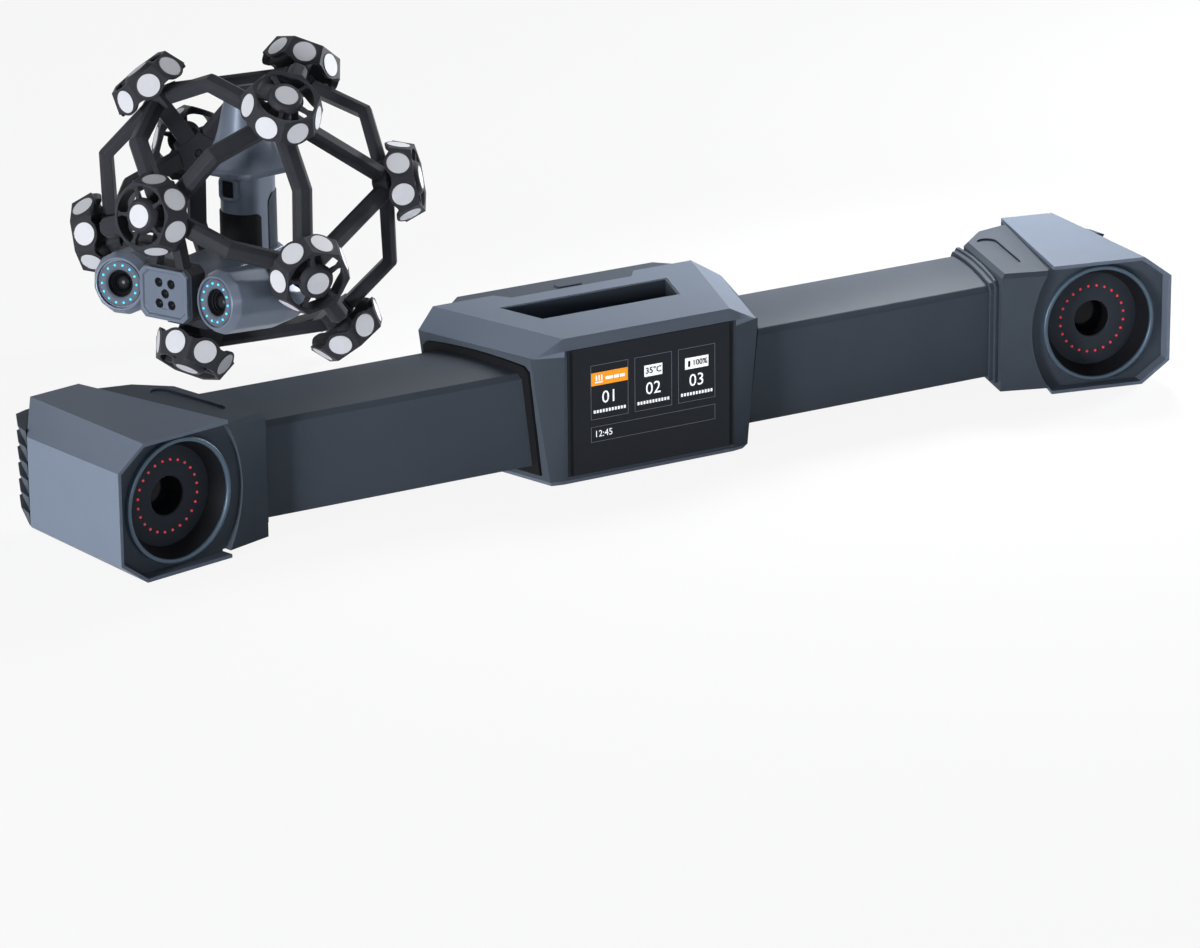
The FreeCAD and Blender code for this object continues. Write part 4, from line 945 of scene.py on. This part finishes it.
ends = len(padPath(0.0)) - 1
padTops = [handle["padTop"] - (handle["padRound"] if index in (0, ends) else handle["padRound"] * 0.3
                               if index in (1, ends - 1) else 0.0) for index in range(ends + 1)]
padShape = shellStrip(padPath(handle["padThick"]), padPath(0.02), handle["low"], padTops)
finishPiece(softPiece("scanner_grip_pad", padShape, softRubber, 0.4), "hand_scanner", ["grip_pad"])
panels = []
for side in (1, -1):
    outer, inner = ([(x, side * y) for x, y in sectionPath(grow, handle["panelFront"], handle["panelEnd"])]
                    for grow in (handle["panelThick"], 0.02))
    panelTops = [handle["panelLow"]] + [handle["panelTop"]] * (len(outer) - 1)
    panels.append(softPiece("handle_side_panel", shellStrip(outer, inner, handle["low"], panelTops), shellPlastic, 0.3))
finishPiece(joinPieces(panels, "handle_side_panels"), "hand_scanner")


def roundedFrame(front, back, outside, inside, height, steps=6):
    # a frame with round corners that faces forward: outer wall, front, inner wall and back
    spots = []
    for (halfY, halfZ, radius), depth in ((outside, back), (outside, front), (inside, front), (inside, back)):
        for corner, (sy, sz) in enumerate(((1, 1), (-1, 1), (-1, -1), (1, -1))):
            for step in range(steps + 1):
                turn = math.radians(90 * corner + 90 * step / steps)
                spots.append((depth, sy * (halfY - radius) + radius * math.cos(turn),
                              height + sz * (halfZ - radius) + radius * math.sin(turn)))
    return [cagePoint(spot) for spot in spots], tubeFaces(4, 4 * (steps + 1))


guardShape = roundedFrame(handle["guardFront"], handle["guardBack"], handle["guardOuter"], handle["guardInner"],
                          handle["guardHeight"])
finishPiece(softPiece("trigger_guard", guardShape, castingPaint, 1.5, 3), "hand_scanner")

# bell on top of the handle: flared skirt, neck and rolled rim, with the socket inside
bellLook = {"axis": 3.0, "sides": 120, "flats": 5, "firstFlat": 72.9, "flatReach": 0.88}
bellPlace = [onCage @ Matrix.Translation((bellLook["axis"] * mm, 0, 0))]
# radius, height and how far five flats cut into the round: all the way at the brim, not at all at the neck
bellRows = [(27.0, 38.0, 0.0), (28.5, 38.2, 0.0), (44.0, 40.6, 0.9), (47.4, 41.6, 1.0), (48.3, 42.1, 1.0),
            (48.5, 43.0, 1.0), (48.5, 46.4, 1.0), (48.2, 47.2, 1.0), (47.2, 48.0, 1.0), (43.0, 51.4, 0.85),
            (39.0, 55.6, 0.6), (35.6, 60.0, 0.35), (32.2, 65.4, 0.15), (29.4, 71.0, 0.04), (27.2, 77.0, 0.0),
            (25.3, 84.0, 0.0), (23.7, 91.0, 0.0), (22.2, 98.0, 0.0), (20.6, 104.6, 0.0), (19.6, 109.4, 0.0),
            (19.2, 111.2, 0.0), (18.5, 112.0, 0.0), (15.2, 112.0, 0.0), (14.3, 111.4, 0.0), (14.0, 110.4, 0.0),
            (14.0, 84.0, 0.0), (0.01, 84.0, 0.0), (0.01, 38.0, 0.0)]


def scannerCasting(name, shape, angle, node):
    casting = meshFrom(name, *shape, castingPaint)
    shadeByAngle(casting.data, angle)
    return finishPiece(casting, "hand_scanner", [node])


def bellCasting():
    quarter = math.pi / bellLook["flats"]
    vertices = []
    for step in range(bellLook["sides"]):
        turn = 2 * math.pi * step / bellLook["sides"]
        off = (turn - math.radians(bellLook["firstFlat"]) + quarter) % (2 * quarter) - quarter
        for radius, height, share in bellRows:
            reach = radius * (1 + share * (min(1.0, bellLook["flatReach"] / math.cos(off)) - 1))
            vertices.append(bellPlace[0] @ (Vector((reach * math.cos(turn), reach * math.sin(turn), height)) * mm))
    return vertices, tubeFaces(bellLook["sides"], len(bellRows))


scannerCasting("bell_casting", bellCasting(), 30, "bell_housing")
cupProfile = [(13.9, 84.1), (13.9, 96.0), (13.2, 96.4), (11.6, 96.4), (10.9, 95.8), (10.9, 87.0), (0.01, 87.0),
              (0.01, 84.1)]
lathePiece("bell_socket", cupProfile, 64, innerNylon, bellPlace, "hand_scanner", "top_socket")

# camera barrels' fronts: light ring with cyan diodes, and an eye made of steps and a domed lens
barrel = {"front": 134.0, "spacing": 118.0, "height": -54.6, "toe": 12.0, "pitch": 6.0, "diodes": 14,
          "diodeCircle": 18.9, "diodeRadius": 1.25, "diodeTurn": 10.0, "diodeDepth": 0.9, "facets": 12,
          "steps": 8}


def barrelPlace(side):
    toe = math.radians(barrel["toe"])
    pitch = math.radians(barrel["pitch"])
    back = Vector((-math.cos(toe) * math.cos(pitch), side * math.sin(toe) * math.cos(pitch), -math.sin(pitch)))
    lead = (Vector((0, 0, 1)) - back * back.z).normalized()
    across = back.cross(lead)
    turned = Matrix((lead, across, back)).transposed().to_4x4()
    middle = Vector((barrel["front"], side * barrel["spacing"] / 2, barrel["height"])) * mm
    return onCage @ Matrix.Translation(middle) @ turned


barrels = [barrelPlace(-1), barrelPlace(1)]


def barrelShell(place):
    # rings from the tail to the lip, whose sides are flats in a given share, then round ones down into the recess
    rings = [(22.6, 95.6, 1.0), (25.0, 95.0, 1.0), (26.2, 92.0, 1.0), (30.8, 68.6, 1.0), (31.0, 66.8, 1.0),
             (31.0, 9.2, 1.0), (30.8, 8.0, 0.9), (30.3, 7.0, 0.6)]
    rings += [(apothem, depth, 0.0) for apothem, depth in (
        (26.9, 0.9), (26.4, 0.3), (25.8, 0.0), (24.9, 0.0), (24.4, 0.2), (24.1, 0.7), (24.0, 3.0), (13.5, 3.0),
        (13.5, 26.0), (0.01, 26.0))]
    flat = math.pi / barrel["facets"]
    sides = barrel["facets"] * barrel["steps"]
    vertices = []
    for step in range(sides):
        turn = (step + 0.5) * 2 * math.pi / sides
        off = (turn + flat) % (2 * flat) - flat
        for apothem, depth, share in rings:
            reach = apothem * (1 + share * (1 / math.cos(off) - 1))
            spot = Vector((reach * math.cos(turn), reach * math.sin(turn), depth))
            vertices.append(place @ (spot * mm))
    count = len(rings)
    faces = []
    for step in range(sides):
        here = step * count
        there = ((step + 1) % sides) * count
        for index in range(count - 1):
            faces.append((here + index, here + index + 1, there + index + 1, there + index))
    faces.append(tuple(step * count for step in range(sides)))
    faces.append(tuple(step * count + count - 1 for step in reversed(range(sides))))
    return vertices, faces


for side, place in zip(("left", "right"), barrels):
    scannerCasting("camera_barrel_casting_" + side, barrelShell(place), 24, "camera_barrel_" + side)
ringProfile = [(22.7, 3.0), (22.7, 1.5), (22.3, 1.1), (21.6, 1.1), (21.4, 1.5), (21.1, 1.5), (20.9, 1.1), (15.6, 1.1),
               (14.9, 1.5), (14.2, 2.2), (13.5, 3.0)]
lathePiece("scanner_light_rings", ringProfile, 96, ringPaint, barrels, "hand_scanner", "led_rings")
eyeProfile = [(13.35, 14.0), (13.35, 2.6), (13.1, 2.3), (12.5, 2.4), (11.9, 3.6), (11.5, 6.0), (10.6, 6.6), (10.2, 8.6),
              (9.4, 9.2), (9.1, 10.6), (0.01, 10.6), (0.01, 14.0)]
lathePiece("scanner_eye_steps", eyeProfile, 72, innerNylon, barrels, "hand_scanner", "scanner_eyes")
domeProfile = [(0.01, 6.2), (2.4, 6.4), (4.8, 7.1), (7.0, 8.4), (8.9, 10.2), (8.9, 10.5), (0.01, 10.5)]
lathePiece("scanner_eye_domes", domeProfile, 64, eyeGlass, barrels, "hand_scanner", angle=60)
diodeRing("cyan_diodes", cyanDiode, barrel, barrels, "hand_scanner", barrel["diodeDepth"])

# laser block: five deep-set eyes, and a black surround behind the painted face
laser = {"front": 139.0, "pitchY": 7.6, "pitchZ": 10.7, "halfWidth": 29.0, "halfHeight": 26.0, "cut": 6.0, "hole": 4.7,
         "holeSides": 32, "holeDepth": 4.6, "rim": 3.2, "floor": 2.6, "floorInset": 4.5, "back": 30.0,
         "surround": 1.6, "surroundFront": 6.0, "surroundBack": 28.0, "surroundEdge": 0.9, "edge": 0.6}
laserSpots = [(0.0, 0.0)] + [(y, z) for y in (-laser["pitchY"], laser["pitchY"])
                             for z in (-laser["pitchZ"], laser["pitchZ"])]
laserPlaces = [onCage @ Matrix.Translation(Vector((laser["front"], y, barrel["height"] + z)) * mm)
               @ Matrix.Rotation(math.radians(-90), 4, "Y") for y, z in laserSpots]
wellProfile = [(4.65, 3.3), (4.65, 5.9), (0.01, 5.9), (0.01, 5.2), (2.3, 5.2), (2.5, 4.7), (3.5, 4.5), (3.7, 3.7),
               (4.2, 3.4), (4.3, 3.1), (4.5, 3.1)]
lathePiece("laser_wells", wellProfile, 40, innerNylon, laserPlaces, "hand_scanner", "laser_windows")
beadProfile = [(0.01, 4.0), (1.2, 4.2), (2.2, 5.0), (2.2, 5.25), (0.01, 5.25)]
lathePiece("laser_lenses", beadProfile, 32, eyeGlass, laserPlaces, "hand_scanner", angle=60)


def eightCorners(depth, shrink):
    # outline of the block's front, seen along its axis; the cut corners keep their size
    wide = laser["halfWidth"] - shrink
    high = laser["halfHeight"] - shrink
    cut = laser["cut"]
    corners = [(-wide, -high + cut), (-wide + cut, -high), (wide - cut, -high), (wide, -high + cut), (wide, high - cut),
               (wide - cut, high), (-wide + cut, high), (-wide, high - cut)]
    return [cagePoint((laser["front"] - depth, y, barrel["height"] + z)) for y, z in corners]


def laserCasting():
    # side walls, flat rim, sloping inner edge, then a sunk floor with five holes
    rings = [(laser["back"], 0.0), (0.0, 0.0), (0.0, laser["rim"]), (laser["floor"], laser["floorInset"])]
    shape = bmesh.new()
    loops = [[shape.verts.new(corner) for corner in eightCorners(depth, shrink)] for depth, shrink in rings]
    for back, front in zip(loops, loops[1:]):
        for step in range(8):
            after = (step + 1) % 8
            shape.faces.new((back[step], back[after], front[after], front[step]))
    shape.faces.new(loops[0])
    edges = [shape.edges.get((loops[-1][step], loops[-1][(step + 1) % 8])) for step in range(8)]
    count = laser["holeSides"]
    for y, z in laserSpots:
        circles = []
        for depth in (rings[-1][0], laser["holeDepth"]):
            circles.append([])
            for step in range(count):
                turn = 2 * math.pi * step / count
                spot = (laser["front"] - depth, y + laser["hole"] * math.cos(turn),
                        barrel["height"] + z + laser["hole"] * math.sin(turn))
                circles[-1].append(shape.verts.new(cagePoint(spot)))
        for step in range(count):
            after = (step + 1) % count
            edges.append(shape.edges.new((circles[0][step], circles[0][after])))
            shape.faces.new((circles[0][step], circles[0][after], circles[1][after], circles[1][step]))
    bmesh.ops.triangle_fill(shape, use_beauty=True, edges=edges)
    bmesh.ops.recalc_face_normals(shape, faces=shape.faces)
    mesh = bpy.data.meshes.new("laser_casting")
    shape.to_mesh(mesh)
    shape.free()
    casting = linkMesh("laser_casting", mesh, castingPaint)
    mesh.shade_smooth()
    soften(casting, laser["edge"])
    return finishPiece(casting, "hand_scanner", ["laser_block"])


def laserSurround():
    # black frame that stands out a little round the block, from a little behind its front
    corners = [eightCorners(laser[depth], -laser["surround"]) for depth in ("surroundFront", "surroundBack")]
    faces = [tuple(range(8)), tuple(range(15, 7, -1))]
    faces += [(step, step + 8, (step + 1) % 8 + 8, (step + 1) % 8) for step in range(8)]
    return corners[0] + corners[1], faces


laserCasting()
surround = softPiece("laser_surround", laserSurround(), sinteredNylon, laser["surroundEdge"])
finishPiece(surround, "hand_scanner")
print("scanner head made")

# studio: pale floor that reads white to the camera, soft lamps and an even world
studio = {"floorLook": {"colour": "eef0f3", "second": "f2f3f5", "roughness": 0.9, "specular": 0.1}, "floorSize": 9.0,
          "floorWhite": 0.9,
          "worldColour": "dce4f0", "worldLevel": 0.07,
          # position, size, watts, aim and beam angle of each lamp
          "lamps": {"key": ((0.8, 0.5, 0.75), 0.4, 4.4, (0.5, -0.05, 0.1), 90),
                    "middle": ((0.25, 0.5, 0.75), 0.4, 1.0, (0.05, 0.0, 0.15), 80),
                    "right": ((2.2, 0.3, 0.5), 0.5, 56.0, (0.2, 0.0, 0.12), 180),
                    "side": ((-2.8, -0.9, 0.22), 0.6, 84.0, (-0.4, 0.0, 0.08), 180),
                    "front": ((-1.4, -3.4, 0.4), 1.6, 26.0, (-0.1, 0.1, 0.05), 180),
                    "cageSide": ((-1.9, 1.2, 1.6), 0.8, 5.0, (-0.16, 0.42, 0.16), 180)}}
# the camera that the photograph was taken with, as solved: focal length and picture width in pixels, place in metres
view = {"focal": 5442, "width": 1200, "sensor": 36.0, "place": (-2.4886, -4.2326, 1.6449), "clipEnd": 60,
        "right": (0.8612, -0.5082, -0.0083), "up": (0.1708, 0.2739, 0.9465), "forward": (0.4787, 0.8165, -0.3227)}


def seenDirectly(tree):
    # 1 for what the camera sees itself, in a mirror or through a glass, and 0 for all other light
    path = addNode(tree, "ShaderNodeLightPath")
    glossy = addNode(tree, "ShaderNodeMath", {"operation": "MAXIMUM"}, {0: path.outputs["Is Camera Ray"],
                                                                       1: path.outputs["Is Glossy Ray"]})
    both = addNode(tree, "ShaderNodeMath", {"operation": "MAXIMUM"}, {0: glossy.outputs["Value"],
                                                                     1: path.outputs["Is Transmission Ray"]})
    return both.outputs["Value"]


def buildWorld():
    world = bpy.data.worlds.new("softStudio")
    scene.world = world
    world.use_nodes = True
    tree = world.node_tree
    tree.nodes.clear()
    room = addNode(tree, "ShaderNodeBackground", inputs={"Color": toLinear(studio["worldColour"]),
                                                         "Strength": studio["worldLevel"]})
    white = addNode(tree, "ShaderNodeBackground", inputs={"Color": (1, 1, 1, 1), "Strength": 1.0})
    mix = addNode(tree, "ShaderNodeMixShader", inputs={0: seenDirectly(tree)})
    tree.links.new(room.outputs["Background"], mix.inputs[1])
    tree.links.new(white.outputs["Background"], mix.inputs[2])
    addNode(tree, "ShaderNodeOutputWorld", inputs={"Surface": mix.outputs["Shader"]})


def buildFloor():
    half = studio["floorSize"] / 2
    drop = -0.0005
    mat, tree, shader = newMaterial("paleStudioFloor", studio["floorLook"])
    mixTones(tree, shader, noise(tree, objectPlace(tree), 2.0), studio["floorLook"])
    glow = addNode(tree, "ShaderNodeEmission", inputs={"Color": (1, 1, 1, 1), "Strength": 1.0})
    share = addNode(tree, "ShaderNodeMath", {"operation": "MULTIPLY"}, {0: seenDirectly(tree), 1: studio["floorWhite"]})
    mix = addNode(tree, "ShaderNodeMixShader", inputs={0: share.outputs["Value"], 1: shader.outputs["BSDF"],
                                                       2: glow.outputs["Emission"]})
    tree.links.new(mix.outputs["Shader"], tree.nodes["Material Output"].inputs["Surface"])
    mesh = bpy.data.meshes.new("studioFloor")
    corners = [(x * half, y * half, drop) for x, y in ((-1, -1), (1, -1), (1, 1), (-1, 1))]
    mesh.from_pydata(corners, [], [(0, 1, 2, 3)])
    floor = linkMesh("studioFloor", mesh, mat)


def buildLamps():
    for name, (spot, size, power, target, beam) in studio["lamps"].items():
        data = bpy.data.lights.new(name + "Lamp", "AREA")
        data.shape = "DISK"
        data.size = size
        data.energy = power
        data.spread = math.radians(beam)
        lamp = linkObject(name + "Lamp", data)
        lamp.location = spot
        lamp.rotation_euler = (Vector(target) - Vector(spot)).to_track_quat("-Z", "Y").to_euler()


def buildCamera():
    data = bpy.data.cameras.new("photoCamera")
    data.sensor_fit = "HORIZONTAL"
    data.sensor_width = view["sensor"]
    data.lens = view["focal"] / view["width"] * view["sensor"]
    data.clip_end = view["clipEnd"]
    camera = linkObject("photoCamera", data)
    turn = Matrix((view["right"], view["up"], [-part for part in view["forward"]])).transposed()
    camera.matrix_world = Matrix.Translation(view["place"]) @ turn.to_4x4()
    scene.camera = camera


buildWorld()
buildFloor()
buildLamps()
buildCamera()
scene.view_settings.view_transform = "Standard"
print("studio made")
